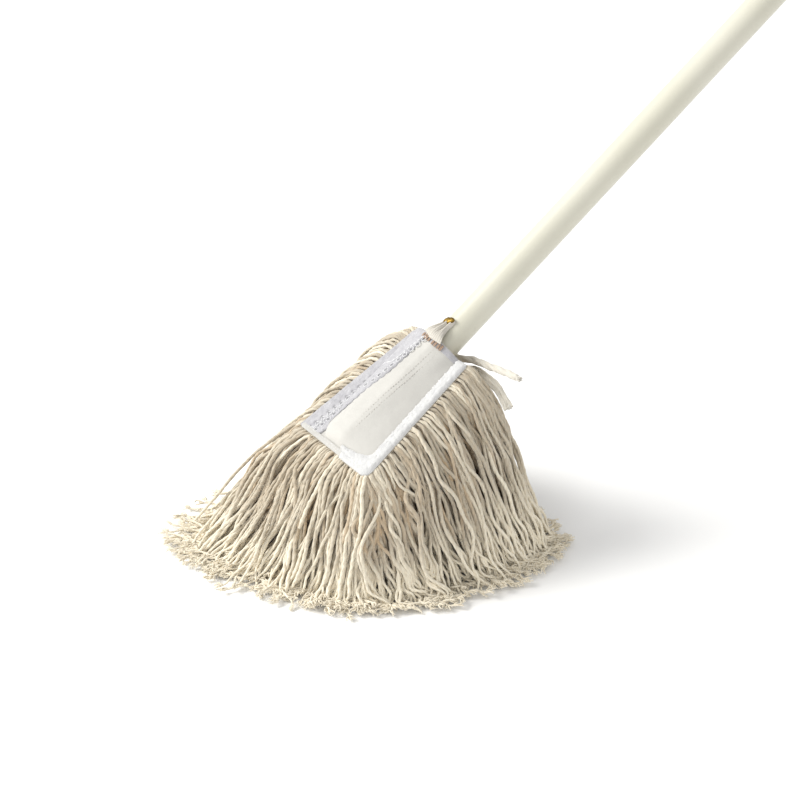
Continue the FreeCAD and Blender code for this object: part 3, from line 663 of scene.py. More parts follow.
def pillow(x, y):
    """Height of the padded bulge: full and steep on the left, a straight slope to the hem on the right."""
    corner = quarter_round(y, CORNER_LENGTH)
    crest = core_centre(y) + SKIN_RADIUS - CLOTH + CREST_SWELL * ease(y, 0.05, -0.02)
    left = (np.sqrt(SKIN_RADIUS**2 - core_centre(y) ** 2) + 0.0008) * (0.62 + 0.38 * corner)
    right = (edge_x(y) - RIGHT_MARGIN) * (0.70 + 0.30 * corner)
    steep = np.clip(1 - np.clip(-x / left, 0, 1) ** 2.4, 0, 1) ** 0.52
    over = np.clip((x - CREST_REACH) / (right - CREST_REACH), 0, 1)
    rounded = np.sqrt(over**2 + SLOPE_ROUND) - math.sqrt(SLOPE_ROUND)
    sloping = 1 - np.clip(rounded / (math.sqrt(1 + SLOPE_ROUND) - math.sqrt(SLOPE_ROUND)), 0, 1)
    return CLOTH + crest * quarter_round(y, NOSE_LENGTH) * np.where(x < 0, steep, sloping)


def canvas_height(x, y):
    """Height of the upper canvas over the panel's plane: the pillow, never lower than the core's skin."""
    x, y = np.asarray(x, float), np.asarray(y, float)
    skin = core_centre(y) + np.sqrt(np.maximum(skin_radius_at(y) ** 2 - x**2, 0))
    bulge = soft_max(np.where(y > SKIN_FRONT, skin, -1.0), pillow(x, y), 0.0016)
    return soft_max(bulge, np.full_like(bulge, CLOTH), 0.0012)


def raised(amount):
    """The upper canvas's height with something that thick on it."""
    return lambda x, y: canvas_height(x, y) + amount


def corner_centre(side):
    """The middle of a front corner's round."""
    y = -HALF_LENGTH + FRONT_ROUND[side]
    return side * (edge_x(y) - FRONT_ROUND[side]), y


def corner_arc(side, start, end, away):
    """Points round a front corner, away from its edge, from a start to an end in degrees."""
    x, y = corner_centre(side)
    turns = np.radians(np.linspace(start, end, CORNER_STEPS))
    reach = FRONT_ROUND[side] + away
    return list(zip(x + reach * np.cos(turns), y + reach * np.sin(turns)))


def corners_rounded(x, y):
    """Pulls points near the panel's front corners in to their rounds."""
    for side in FRONT_ROUND:
        centre_x, centre_y = corner_centre(side)
        over_x, over_y = (x - centre_x) * side, centre_y - y
        reach = np.hypot(over_x, over_y)
        corner = (over_x > 0) & (over_y > 0)
        scale = np.where(corner & (reach > 0), np.maximum(over_x, over_y) / np.maximum(reach, 1e-9), 1.0)
        x = np.where(corner, centre_x + side * over_x * scale, x)
        y = np.where(corner, centre_y - over_y * scale, y)
    return x, y


def panel_grid(rows, columns, rim):
    """x and y of a grid over the panel, which runs out by the rim over the core at the mouth."""
    share_y, share_x = shares(rows, columns, -1)
    y = -HALF_LENGTH + share_y * 2 * HALF_LENGTH
    x = share_x * edge_x(y)
    return corners_rounded(x, y + rim * (1 - ease(np.abs(x), 0.026, 0.033)) * ease(share_y, 0.8, 1.0))


def canvas_piece(name, node, points, quads):
    piece = quad_piece(name, HEAD.world(points), quads, CANVAS, stands_for=(node, "canvas"))
    thicken(piece, CLOTH * 0.9)


def make_canvas_top():
    """The upper canvas: margins and the rounded bulge, with small pleats round its nose."""
    rows, columns = 150, 116
    x, y = panel_grid(rows, columns, RIM)
    z = canvas_height(x, y)
    flat = on_plane(x, y)
    on_bulge = ease(z, 0.002, 0.012).ravel()
    broad = wobble(flat * (1, 0.45, 1), 0.019, 3.1) * 0.0007 * (0.35 + on_bulge)
    fine = wobble(flat, 0.0055, 8.2) * 0.00018
    nose = ease(-flat[:, 1], 0.034, 0.058) * on_bulge
    pleats = np.sin(flat[:, 0] / 0.0034 + 1.2 * wobble(flat, 0.012, 1.4)) * 0.00028 * nose
    flat[:, 2] = z.ravel() + broad + fine + pleats
    canvas_piece("pocket_canvas_top", "pocket_top", flat, grid_quads(rows, columns))


def base_depth(x, y):
    """How far the lower canvas hangs under the panel's plane: a flat-bottomed trough round the core."""
    bottom = core_centre(y) + CORE_DROP - CORE_DEPTH - CORE_EASE - CLOTH
    shape = np.clip(1 - np.abs(x / np.maximum(skin_radius_at(y), 1e-6)) ** 5, 0, 1) ** 0.42
    close = ease(y, SKIN_FRONT - 0.001, SKIN_FRONT + CORE_NOSE * 0.7)
    return np.minimum(bottom * shape * close, -CLOTH)


def make_canvas_base():
    """The lower canvas, from the margins down round the core."""
    rows, columns = 110, 120
    x, y = panel_grid(rows, columns, 0.0)
    flat = on_plane(x, y, base_depth(x, y))
    flat[:, 2] += wobble(flat, 0.014, 6.6) * 0.0005
    flat[:, 2] = np.minimum(flat[:, 2], -CLOTH * 0.6)
    canvas_piece("pocket_canvas_base", "pocket_base", flat, grid_quads(rows, columns)[:, ::-1])


# ---------------------------------------------------------------- hems, tape, piping and binding

# The inner border of the left band: places along the pocket and how far from its middle the border runs.
BORDER_Y = [-0.064, -0.055, -0.045, -0.020, 0.0, 0.020, 0.045, 0.068]
BORDER_X = [-0.0290, -0.0245, -0.0195, -0.0130, -0.0085, -0.0045, -0.0022, -0.0020]
# The band's rows of stitches follow the edge, then climb the bulge to a line near its crest: how far from
# the edge each runs, where it climbs, and that line's x in the middle of the pocket and its slope.
BAND_ROWS = {
    "outer": (0.0122, 0.060, -0.0215, 0.22),
    "second": (0.0163, 0.022, -0.0175, 0.225),
    "loops": (0.0203, -0.008, -0.0122, 0.20),
}
NEEDLE_PITCH = 0.0072
FIRST_STITCH = -HALF_LENGTH + 0.004
FIRST_LOOP = FIRST_STITCH + 0.002
LAST_STITCH = HALF_LENGTH - 0.004
LEFT_HEM_THICK = 0.0013
RIGHT_HEM_WIDTH = 0.0108
RIGHT_HEM_THICK = 0.0030
FRONT_HEM_WIDTH = 0.0054
FRONT_HEM_THICK = 0.0017
TAPE_WIDTH = 0.0082
TAPE_THICK = 0.0020
PIPING_RADIUS = 0.0009
BINDING_REACH = math.radians(74)  # how far the mouth's binding runs down each side of the crest


def strip_piece(name, node, surface, path, width, thickness, base, half_ring, puff, lump=0.004, seed=0.0):
    """A doubled strip along a path over a base height: a closed flat oval with a lumpy upper face."""
    rows, columns = len(path), half_ring * 2
    tangent = unit(np.gradient(path, axis=0))
    side = np.stack([tangent[:, 1], -tangent[:, 0]], axis=-1)
    angles = FULL_TURN * np.arange(columns) / columns
    run = np.sign(np.cos(angles)) * np.abs(np.cos(angles)) ** 0.75
    rise = np.tile(np.sign(np.sin(angles)) * np.abs(np.sin(angles)) ** 0.6, rows)
    spot = path[:, None] + side[:, None] * (run * width / 2)[:, None]
    flat = on_plane(spot[..., 0], spot[..., 1])
    bumps = (wobble(flat, lump, seed) * 0.7 + wobble(flat, lump * 0.4, seed + 5) * 0.4) * puff
    flat[:, 2] = base(flat[:, 0], flat[:, 1]) + thickness * (0.5 + 0.5 * rise) + bumps * np.maximum(rise, 0)
    middle = np.repeat(flat.reshape(rows, -1, 3).mean(axis=1), columns, axis=0)
    closing = np.repeat(0.35 + 0.65 * near_ends(rows, -1, 3), columns)[:, None]
    points = HEAD.world(with_ends(middle + (flat - middle) * closing, columns))
    quads, caps = closed_faces(rows, columns)
    quad_piece(name, points, quads, surface, triangles=caps, stands_for=(node, "hem_cotton"))


def band_border(y):
    """x of the left band's inner border: on the bulge's foot in front, up its flank at the mouth."""
    near = np.linspace(-0.006, 0.006, 5)
    return np.mean([np.interp(y + shift, BORDER_Y, BORDER_X) for shift in near], axis=0)


def row_places(row, start=FIRST_STITCH, end=LAST_STITCH, pitch=NEEDLE_PITCH, shift=0.0):
    """Places on the panel at every pitch along one of the band's rows."""
    offset, climb, crest_x, crest_slope = BAND_ROWS[row]
    y = np.arange(start, end, pitch)
    flat_x = -edge_x(y) + offset
    climbed = ease(y, climb - 0.007, climb + 0.007)
    return np.stack([flat_x + (crest_x + crest_slope * y - flat_x) * climbed + shift, y], axis=-1)


def near_holes(flat, places, size):
    """1 at each needle hole, falling to 0 over its size."""
    gap = flat[:, None, :2] - places[None]
    return np.exp(-(gap**2).sum(axis=-1) / size**2).max(axis=1)


def make_left_hem():
    """The wide quilted band down the left side, pulled down at its needle holes and scalloped inside."""
    rows, columns = 210, 44
    share_y, share_x = shares(rows, columns)
    y = -HALF_LENGTH + 0.0006 + share_y * (2 * HALF_LENGTH - 0.0008)
    scallop = 0.0011 * np.abs(np.sin(math.pi * y / NEEDLE_PITCH)) - 0.0004
    outer = -edge_x(y) - 0.0005
    flat = on_plane(outer + share_x * (band_border(y) + scallop - outer), y)
    edge = np.minimum(np.minimum(share_x / 0.06, (1 - share_x) / 0.05), 1)
    ends = np.minimum(np.minimum(share_y, 1 - share_y) / 0.012, 1)
    thick = LEFT_HEM_THICK * np.sqrt(edge * ends).ravel()
    holes = near_holes(flat, row_places("outer"), 0.0015)
    small = near_holes(flat, row_places("loops", FIRST_LOOP), 0.0014)
    puffs = wobble(flat, 0.0042, 2.2) * 0.0006 + wobble(flat, 0.0018, 7.0) * 0.00028
    height = canvas_height(flat[:, 0], flat[:, 1]) - 0.0003 + thick + puffs * (thick > 0.0008)
    flat[:, 2] = height - 0.0012 * holes - 0.0008 * small
    # the hole attribute marks where the material paints shade into the needle holes
    hole = ("hole", "FLOAT", np.clip(holes + 0.6 * small, 0, 1))
    quads = grid_quads(rows, columns)[:, ::-1]
    piece = quad_piece(
        "hem_left", HEAD.world(flat), quads, HEM_BLUE,
        attributes=[hole], stands_for=("left_hem", "hem_cotton"),
    )
    thicken(piece, 0.0006)


def hem_edge(side, corner, front):
    """One edge of the right hem: down the side, round the corner and along the front."""
    return np.concatenate([spaced(side, 150), spaced(corner, 36)[1:], spaced(front, 40)[1:]])


def make_right_hem():
    """The puffy hem down the right edge, which turns the front corner and fills it."""
    grow = 0.0005
    wide = RIGHT_HEM_WIDTH
    mouth, turn_y, front = HALF_LENGTH + 0.0003, -0.047, -HALF_LENGTH - grow
    stop = 0.012  # where it meets the front hem
    arc_x, arc_y = corner_centre(1)
    bend = [(edge_x(turn_y) - wide, turn_y), (0.0385, -0.0525), (0.0300, -0.0570), (0.0200, -0.0592)]
    outer = hem_edge(
        [(edge_x(mouth) + grow, mouth), (edge_x(arc_y) + grow, arc_y)],
        corner_arc(1, 0, -90, grow),
        [(arc_x, front), (stop, front)],
    )
    inner = hem_edge([(edge_x(mouth) - wide, mouth), bend[0]], bend, [bend[-1], (stop, -0.0602)])
    rows, columns = len(outer), 26
    row, share = np.arange(rows), np.linspace(0, 1, columns)
    ragged = (0.0005 * np.sin(row * 1.7) + 0.0004 * np.sin(row * 0.61)) * (1 - 0.85 * ease(row, 140, 155))
    across = share + np.outer(ragged / wide, share**3)
    flat = outer[:, None] + (inner - outer)[:, None] * across[..., None]
    flat = on_plane(flat[..., 0], flat[..., 1])
    rounded = np.sqrt(np.clip(np.minimum(share / 0.16, (1 - share) / 0.22), 0, 1))
    thick = RIGHT_HEM_THICK * np.outer(near_ends(rows, -0.5, 4), rounded).ravel()
    lumps = wobble(flat, 0.0030, 2.0) * 0.0007 + wobble(flat, 0.0012, 5.0) * 0.00035
    lumps = lumps * (thick > RIGHT_HEM_THICK / 2)
    flat[:, 2] = canvas_height(flat[:, 0], flat[:, 1]) - 0.0006 + thick + lumps
    quads = grid_quads(rows, columns)[:, ::-1]
    piece = quad_piece(
        "hem_right", HEAD.world(flat), quads, HEM_WHITE, stands_for=("right_hem", "hem_cotton")
    )
    thicken(piece, 0.0012)


def make_front_hem():
    """The narrow folded hem along the front edge."""
    y = -HALF_LENGTH + 0.0025
    path = spaced([(-HALF_FRONT + 0.002, y), (0.016, y)], step=0.0009)
    base = raised(CLOTH * 0.2)
    strip_piece(
        "hem_front", "front_hem", HEM_PLAIN, path, FRONT_HEM_WIDTH, FRONT_HEM_THICK, base, 12,
        puff=0.0004, lump=0.0035, seed=4.0,
    )


def panel_outline(inset, corners):
    """The panel's edge from the mouth down the left, along the front and up the right."""
    back = HALF_LENGTH - 0.001
    half = edge_x(HALF_LENGTH) - inset
    return [(-half, back), *corners, (half, back)]


def make_heading_tape():
    """The tape under the margins, along the left, front and right edges."""
    inset = 0.0044
    half, front = edge_x(-HALF_LENGTH) - inset, -HALF_LENGTH + inset
    path = spaced(panel_outline(inset, [(-half, front), (half, front)]), step=0.0015)
    under = -CLOTH - TAPE_THICK - 0.0002
    strip_piece(
        "heading_tape_woven", "heading_tape", TAPE, path, TAPE_WIDTH, TAPE_THICK, lambda x, y: under, 9,
        puff=0.0003,
    )


def make_piping():
    """The twisted cord that finishes the edges where the yarn comes out."""
    away = 0.0006
    corners = corner_arc(-1, 180, 270, away) + corner_arc(1, 270, 360, away)
    path = spaced(panel_outline(-away, corners), step=0.0011)
    line = on_plane(path[:, 0], path[:, 1], -0.0006)
    line[:, 2] += wobble(line, 0.006, 9.0) * 0.0003
    made = tubes(HEAD.world(line)[None], np.full((1, len(line)), PIPING_RADIUS), 10, 2, 0.14, PIPING_TWIST)
    tube_piece("piping", "edge_piping", "hem_cotton", with_tone(made, 0.4), PIPING)


def rim_point(angle, radius, along):
    """A point round the core's centre line in the handle frame; angle 0 is the crest, + is to the right."""
    return (radius * math.sin(angle), along, radius * math.cos(angle) - CORE_DROP)


def make_mouth_binding():
    """The bluish-white binding folded over the canvas's rim at the mouth."""
    columns = 120
    section = [(-0.0058, 0.0002), (-0.0053, 0.0010), (-0.0030, 0.0013), (-0.0008, 0.0012)]
    section += [(0.0004, 0.0005), (0.0005, -0.0009), (-0.0006, -0.0016), (-0.0030, -0.0015)]
    points = []
    for angle in np.linspace(-BINDING_REACH, BINDING_REACH, columns):
        for along, out in section:
            pucker = 0.00032 * noise.noise(Vector((angle * 16, along * 500, 2.0)))
            points.append(rim_point(angle, SKIN_RADIUS + out + pucker, RIM + along))
    hole = ("hole", "FLOAT", np.zeros(len(points)))
    piece = quad_piece(
        "mouth_binding_tape", HANDLE.world(points), grid_quads(columns, len(section), wrap=True)[:, ::-1],
        HEM_BLUE, attributes=[hole], stands_for=("mouth_binding", "hem_cotton"),
    )
    round_off = piece.modifiers.new("round", "SUBSURF")
    round_off.levels = round_off.render_levels = 2


# ---------------------------------------------------------------- stitching


def sew(name, node, slot, surface, place, starts, ends, normals, radius, arch, rng):
    """Small arched threads in one of the tilted frames, one from each start to its end, as one piece."""
    rings = 7
    share = np.linspace(0, 1, rings)[:, None]
    starts, ends = place.world(starts)[:, None], place.world(ends)[:, None]
    arches = place.direction(normals)[:, None] * arch * np.sin(math.pi * share)
    paths = starts + (ends - starts) * share + arches
    sizes = radius * (0.55 + 0.45 * np.sin(math.pi * np.linspace(0.06, 0.94, rings)))
    sizes = sizes * (1 + 0.12 * rng.standard_normal((len(paths), 1)))
    tone = 0.5 + 0.2 * rng.standard_normal(len(paths))
    tube_piece(name, node, slot, with_tone(tubes(paths, sizes, 6), tone), surface)


def surface_normals(x, y, height):
    """Upward normals of a height over the panel."""
    step = 0.0006
    slope_x = (height(x + step, y) - height(x - step, y)) / (2 * step)
    slope_y = (height(x, y + step) - height(x, y - step)) / (2 * step)
    return unit(on_plane(-slope_x, -slope_y, 1.0))


def sew_on_panel(name, node, surface, starts, ends, height, radius, arch, rng):
    """White threads between places on the panel, lying on a height over it."""
    ends = on_plane(*np.concatenate(ends).T)
    starts = on_plane(*np.concatenate(starts).T)
    for points in (starts, ends):
        points[:, 2] = height(points[:, 0], points[:, 1])
    normals = surface_normals(starts[:, 0], starts[:, 1], height)
    sew(name, node, "white_thread", surface, HEAD, starts, ends, normals, radius, arch, rng)


def sew_rows(name, node, surface, rows, thick, pitch, share, radius, seed, stray):
    """Straight rows of stitches, each a start and an end, on cloth that thick over the canvas."""
    rng = np.random.default_rng(seed)
    starts, ends = [], []
    for first, last in rows:
        run = np.array(last) - first
        count = int(np.linalg.norm(run) / pitch)
        at = np.linspace(0, 1 - 1 / count, count)[:, None]
        starts.append(first + run * at + stray * rng.standard_normal((count, 2)))
        ends.append(starts[-1] + run / count * share + stray * rng.standard_normal((count, 2)))
    sew_on_panel(name, node, surface, starts, ends, raised(thick), radius, radius * 0.9, rng)


def make_left_stitches():
    """Zigzags from the needle holes to the second row, a run of backstitches, and a row of little loops."""
    half = NEEDLE_PITCH / 2
    holes = row_places("outer", end=LAST_STITCH - NEEDLE_PITCH)
    peaks = row_places("second", FIRST_STITCH + half, LAST_STITCH - half)
    lines = [(holes, peaks), (peaks[:-1], holes[1:])]
    for shift in (0.0, 0.0009):
        run = row_places("second", pitch=NEEDLE_PITCH * 0.55, shift=shift)
        lines.append((run[:-1], run[1:]))
    loops = row_places("loops", FIRST_LOOP)
    turns = np.linspace(0, FULL_TURN, 7)
    rings = [loops + (0.0022 * math.cos(turn), 0.0027 * math.sin(turn)) for turn in turns]
    lines += zip(rings[:-1], rings[1:])
    starts, ends = zip(*lines)
    rng = np.random.default_rng(11)
    sew_on_panel(
        "stitches_left", "left_stitching", PALE_THREAD, starts, ends, raised(LEFT_HEM_THICK),
        0.00044, 0.0004, rng,
    )


def crest_place(y, side):
    """The two rows of stitches along the crest drift a little to the left towards the front."""
    return 0.0160 - (HALF_LENGTH - y) * 0.05 + side * 0.0019, y


def make_straight_stitches():
    """The rows down the right hem, along the front hem and along the crest."""
    front, back = -HALF_LENGTH, HALF_LENGTH
    right = [
        ((HALF_FRONT - inset - 0.001, front + 0.012), (HALF_BACK - inset, back - 0.003))
        for inset in (0.0026, 0.0066)
    ]
    sew_rows(
        "stitches_right", "right_stitching", WHITE_THREAD, right, 0.0028, 0.0040, 0.7, 0.00036, 12, 0.0002
    )
    along = [((-HALF_FRONT + 0.010, front + inset), (0.030, front + inset)) for inset in (0.0018, 0.0038)]
    sew_rows(
        "stitches_front", "front_stitching", WHITE_THREAD, along, 0.0014, 0.0036, 0.7, 0.00034, 13, 0.0002
    )
    crest = [(crest_place(-0.052, side), crest_place(back - 0.008, side)) for side in (-1, 1)]
    sew_rows(
        "stitches_crest", "crest_stitching", SEAM_THREAD, crest, -0.00004, 0.0030, 0.55, 0.00024, 14, 0.0001
    )


def make_bar_tack():
    """Eight short bars of brown thread round the rim in two groups, each a few tight turns side by side."""
    rng = np.random.default_rng(21)
    bars, turns, length = 8, 6, 0.0055
    starts, ends, normals = [], [], []
    for bar in range(bars):
        angle = math.radians(-8 + bar * 5.6 + (3.0 if bar >= bars / 2 else 0) + rng.normal(0, 0.4))
        low_end = -0.0056 + rng.normal(0, 0.0003)
        for turn in range(turns):
            here = angle + math.radians((turn / (turns - 1) - 0.5) * 2.7)
            for places, along in ((starts, low_end), (ends, low_end + length)):
                places.append(rim_point(here, SKIN_RADIUS + 0.0016, along + rng.normal(0, 0.00018)))
            normals.append((math.sin(here), 0, math.cos(here)))
    sew(
        "bar_tack_thread", "bar_tack", "brown_thread", BROWN_THREAD, HANDLE,
        starts, ends, normals, 0.00034, 0.0006, rng,
    )


# ---------------------------------------------------------------- the loop and the nail

LOOP_LINE = [(-0.0016, 0.0226), (0.0016, 0.0234), (0.0052, 0.0230), (0.0100, 0.0200), (0.0150, 0.0168)]
LOOP_LINE += [(0.0195, 0.0156), (0.0256, 0.0152)]
LOOP_WIDTH = 0.0262
LOOP_GATHER = 0.0150  # how much narrower it is under the nail
LOOP_THICK = 0.0011
NAIL_TURN = math.radians(30)  # which way the nail's oval head points
NAIL_SEAT = 0.0157  # the underside of its head, over the handle's axis
NAIL_HEAD = 0.0042
NAIL_SHANK = 0.0011


def smooth_line(points, count):
    """A quadratic B-spline through the middles of a line's runs, with its ends kept."""
    points = np.array(points, float)
    middles = (points[1:] + points[:-1]) / 2
    share = np.linspace(0, 1, count // (len(points) - 2) + 1)[1:, None]
    line = [points[:1]]
    starts, ends = [points[0], *middles[1:-1]], [*middles[1:-1], points[-1]]
    for start, corner, end in zip(starts, points[1:-1], ends):
        line.append(start * (1 - share) ** 2 + corner * 2 * share * (1 - share) + end * share**2)
    return np.concatenate(line)


def make_loop():
    """The ribbed webbing: wide at the rim, gathered in folds under the nail, which goes through it."""
    line = smooth_line(LOOP_LINE, 44)
    rows, columns = len(line), 73
    share = lengths_along(line)[:, None] / lengths_along(line)[-1]
    width = (LOOP_WIDTH - LOOP_GATHER * ease(share, 0.0, 0.80)) * (1 - 0.20 * ease(share, 0.90, 1.0))
    across = np.linspace(-1, 1, columns)
    slope = unit(np.gradient(line, axis=0))
    ribs = 0.00040 * np.abs(np.sin(across * math.pi * 5.5))
    folds = 0.0013 * ease(share, 0.05, 0.6) * np.cos(across * 8.2 + 0.9)
    over_rim = -(across**2) * (0.0029 - 0.0012 * ease(share, 0.0, 0.5))
    height = ribs + folds + over_rim + 0.0004
    x = across * width / 2 + 0.0040 * (1 - ease(share, 0.0, 0.75))
    points = on_plane(x, line[:, :1] - slope[:, 1:] * height, line[:, 1:] + slope[:, :1] * height)
    quads = grid_quads(rows, columns)[:, ::-1]
    centres = points[quads].mean(axis=1)
    clear = np.hypot(centres[:, 0], centres[:, 1] - NAIL_ALONG) > 2 * NAIL_SHANK
    piece = quad_piece("webbing_loop", HANDLE.world(points), quads[clear], WEBBING, body=None)
    solid = thicken(piece, LOOP_THICK, 0.0)
    bpy.context.view_layer.objects.active = piece
    with bpy.context.temp_override(object=piece, active_object=piece):
        bpy.ops.object.modifier_apply(modifier=solid.name)
    stand_in(piece, "hook_loop", "webbing")
    start, end = (tuple(HANDLE.world((0, along, 0.0236))) for along in (-0.0015, 0.005))
    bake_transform(piece)


def make_nail():
    """The brass nail, with a rolled rim and a slightly hammered oval dome."""
    sides, rim = 40, NAIL_SEAT + 0.0008
    profile = [(0.0001, 0.0022), (NAIL_SHANK, 0.0022), (NAIL_SHANK, NAIL_SEAT)]
    profile += [(NAIL_HEAD - 0.0006, NAIL_SEAT), (NAIL_HEAD, NAIL_SEAT + 0.0003), (NAIL_HEAD, rim)]
    for turn in np.radians(np.linspace(0, 90, 9))[1:]:
        profile.append((max(0.0001, NAIL_HEAD * math.cos(turn)), rim + 0.0017 * math.sin(turn)))
    angle = np.tile(FULL_TURN * np.arange(sides) / sides, len(profile))
    radius, height = np.repeat(profile, sides, axis=0).T
    dent = 0.00008 * wobble(on_plane(radius * np.cos(angle), radius * np.sin(angle), 4.0), 1 / 600)
    radius = radius * (1 + 20 * dent)
    on_head = radius > 0.0015
    long_way = radius * np.cos(angle - NAIL_TURN) * np.where(on_head, 1.42, 1)
    short_way = radius * np.sin(angle - NAIL_TURN) * np.where(on_head, 0.84, 1)
    x = long_way * math.cos(NAIL_TURN) - short_way * math.sin(NAIL_TURN)
    y = long_way * math.sin(NAIL_TURN) + short_way * math.cos(NAIL_TURN) + NAIL_ALONG
    quad_piece(
        "nail_domed", HANDLE.world(on_plane(x, y, height + dent)), grid_quads(len(profile), sides, wrap=True),
        aged_brass(), "handle", stands_for=("brass_nail", "brass"),
    )


# ---------------------------------------------------------------- the tie cord

BAND_HALF = 0.026  # half the length of the tape that holds the knot
KNOT_SCALE = 0.00125
KNOT_RADIUS = 0.0024


def route_line(name, route):
    """The points of a route's own smooth curve, in the row frame."""
    curve = bpy.data.curves.new(name, "CURVE")
    curve.dimensions = "3D"
    curve.resolution_u = 24
    spline = curve.splines.new("NURBS")
    spline.points.add(len(route) - 1)
    for point, place in zip(spline.points, HANDLE.world(route)):
        point.co = (*place, 1)
    spline.order_u = 3
    spline.use_endpoint_u = True
    holder = bpy.data.objects.new(name, curve)
    mesh = bpy.data.meshes.new_from_object(holder)
    line = np.array([v.co for v in mesh.vertices])
    bpy.data.objects.remove(holder)
    bpy.data.curves.remove(curve)
    bpy.data.meshes.remove(mesh)
    return line


def fine_fibres(tip, direction, count, length, spread, radius, rng):
    """Thin fibres that leave a cut end: they start across its face and splay."""
    share = np.linspace(0, 1, 7)
    side = unit(np.cross(direction, rng.standard_normal((count, 3))))
    second = np.cross(direction, side)
    angle = rng.uniform(0, FULL_TURN, count)[:, None]
    reach = TIE_DIAMETER * 0.30 * np.sqrt(rng.uniform(0, 1, count))[:, None]
    out = side * np.cos(angle) + second * np.sin(angle)
    lengths = length * rng.uniform(0.5, 1.1, count)
    start = tip + out * reach - direction * 0.003
    bend = out * (spread * rng.uniform(0.1, 1.0, count))[:, None]
    curl = unit(rng.standard_normal((count, 3))) * (0.35 * spread)
    grow = share[:, None]
    paths = start[:, None] + direction * lengths[:, None, None] * grow + bend[:, None] * grow**2
    paths = paths + curl[:, None] * np.sin(grow * 2.6) * grow
    sizes = radius * (1 - 0.6 * share) * rng.uniform(0.7, 1.2, count)[:, None]
    # the fibres take tone 1, the tip colour: a little painted light on the cut end
    return with_tone(tubes(paths, sizes, 5), 1.0)


def twisted_plies(line, share):
    """Three loose plies laid round a line, as for the long end."""
    (normals,), (binormals,) = carried_frames(line[None])
    reach = TIE_DIAMETER * (0.19 - 0.07 * ease(share, 0.90, 1.0))
    taper = (0.9 + 0.1 * ease(share, 0, 0.2)) * (1 - 0.45 * ease(share, 0.96, 1.0))
    parts = []
    for ply in range(3):
        angle = FULL_TURN * (lengths_along(line) / 0.052 + ply / 3)
        away = (reach * np.cos(angle))[:, None] * normals + (reach * np.sin(angle))[:, None] * binormals
        sizes = TIE_DIAMETER * 0.355 * (1 + 0.05 * np.sin(share * 21 + 2 * ply)) * taper
        made = tubes((line + away)[None], sizes[None], 14, 3, 0.06, 0.030)
        parts.append(with_tone(made, 0.50 + 0.07 * ply))
    return parts


def flat_plies(line, share):
    """Six plies lying side by side, as the short end does, pressed flat against the yarn."""
    plies = 6
    tangent = unit(np.gradient(line, axis=0))
    right, _, back = view_axes()
    inward = unit(np.cross(tangent, np.array(back)))
    inward = inward * -np.sign(inward @ np.array(right))[:, None]
    outward = np.cross(tangent, inward)
    parts = []
    for ply in range(plies):
        place = -0.0018 + 0.0062 * ply / (plies - 1)
        offset = place * (0.35 + 0.65 * ease(share, 0.0, 0.3)) + 0.0004 * np.sin(share * 17 + ply * 2.1)
        rise = 0.0005 * np.sin(share * 11 + ply * 1.7)
        path = line + inward * offset[:, None] + outward * rise[:, None]
        made = tubes(path[None], np.full((1, len(line)), 0.00115), 10, 2, 0.10, 0.016)
        parts.append(with_tone(made, 0.40 + 0.05 * (ply % 3)))
    return parts


def make_tie_end(name, node, route, seed, plies, fibres):
    """One end of the soft tie; fibres are its tip's count, length, spread and radius."""
    line = spaced(route_line(name + "_route", route), 90)
    parts = plies(line, np.linspace(0, 1, len(line)))
    parts.append(fine_fibres(line[-1], unit(line[-1] - line[-4]), *fibres, np.random.default_rng(seed)))
    piece = tube_piece(name, node, "tie_cotton", joined(parts), TIE)


def make_knot():
    """The overhand knot under the handle, drawn tight."""
    share = np.linspace(0, FULL_TURN, 91)
    x = np.sin(share) + 2 * np.sin(2 * share)
    y = np.cos(share) - 2 * np.cos(2 * share)
    z = -np.sin(3 * share) * 1.2
    line = HANDLE.world(on_plane(x, y, z) * KNOT_SCALE * (0.95, 1.15, 1.4) + KNOT_CENTRE)
    made = tubes(line[None], np.full((1, len(line)), KNOT_RADIUS), 12, 2, 0.08, 0.014)
    tube_piece("tie_knot_cord", "tie_knot", "tie_cotton", with_tone(made, 0.45), TIE)


def make_tie_band():
    """The tape sewn across the underside of the mouth."""
    rows, columns = 60, 20
    half_thick = 0.00075
    middle = -CORE_DEPTH - CORE_EASE - CLOTH - 0.0017 + half_thick
    turns = FULL_TURN * np.arange(columns) / columns
    x, angle = np.meshgrid(np.linspace(-BAND_HALF, BAND_HALF, rows), turns, indexing="ij")
    y = -0.0085 + 0.0045 * np.copysign(np.abs(np.cos(angle)) ** 0.4, np.cos(angle))
    sag, rib = 0.0003 * np.sin(x * 260), 0.00012 * np.sin(x * 2600)
    points = with_ends(on_plane(x, y, middle + half_thick * np.sin(angle) + sag + rib), columns)
    quads, caps = closed_faces(rows, columns)
    stands_for = ("tie_band", "webbing")
    quad_piece("tie_band_tape", HANDLE.world(points), quads, WEBBING, triangles=caps, stands_for=stands_for)


# ---------------------------------------------------------------- the yarn

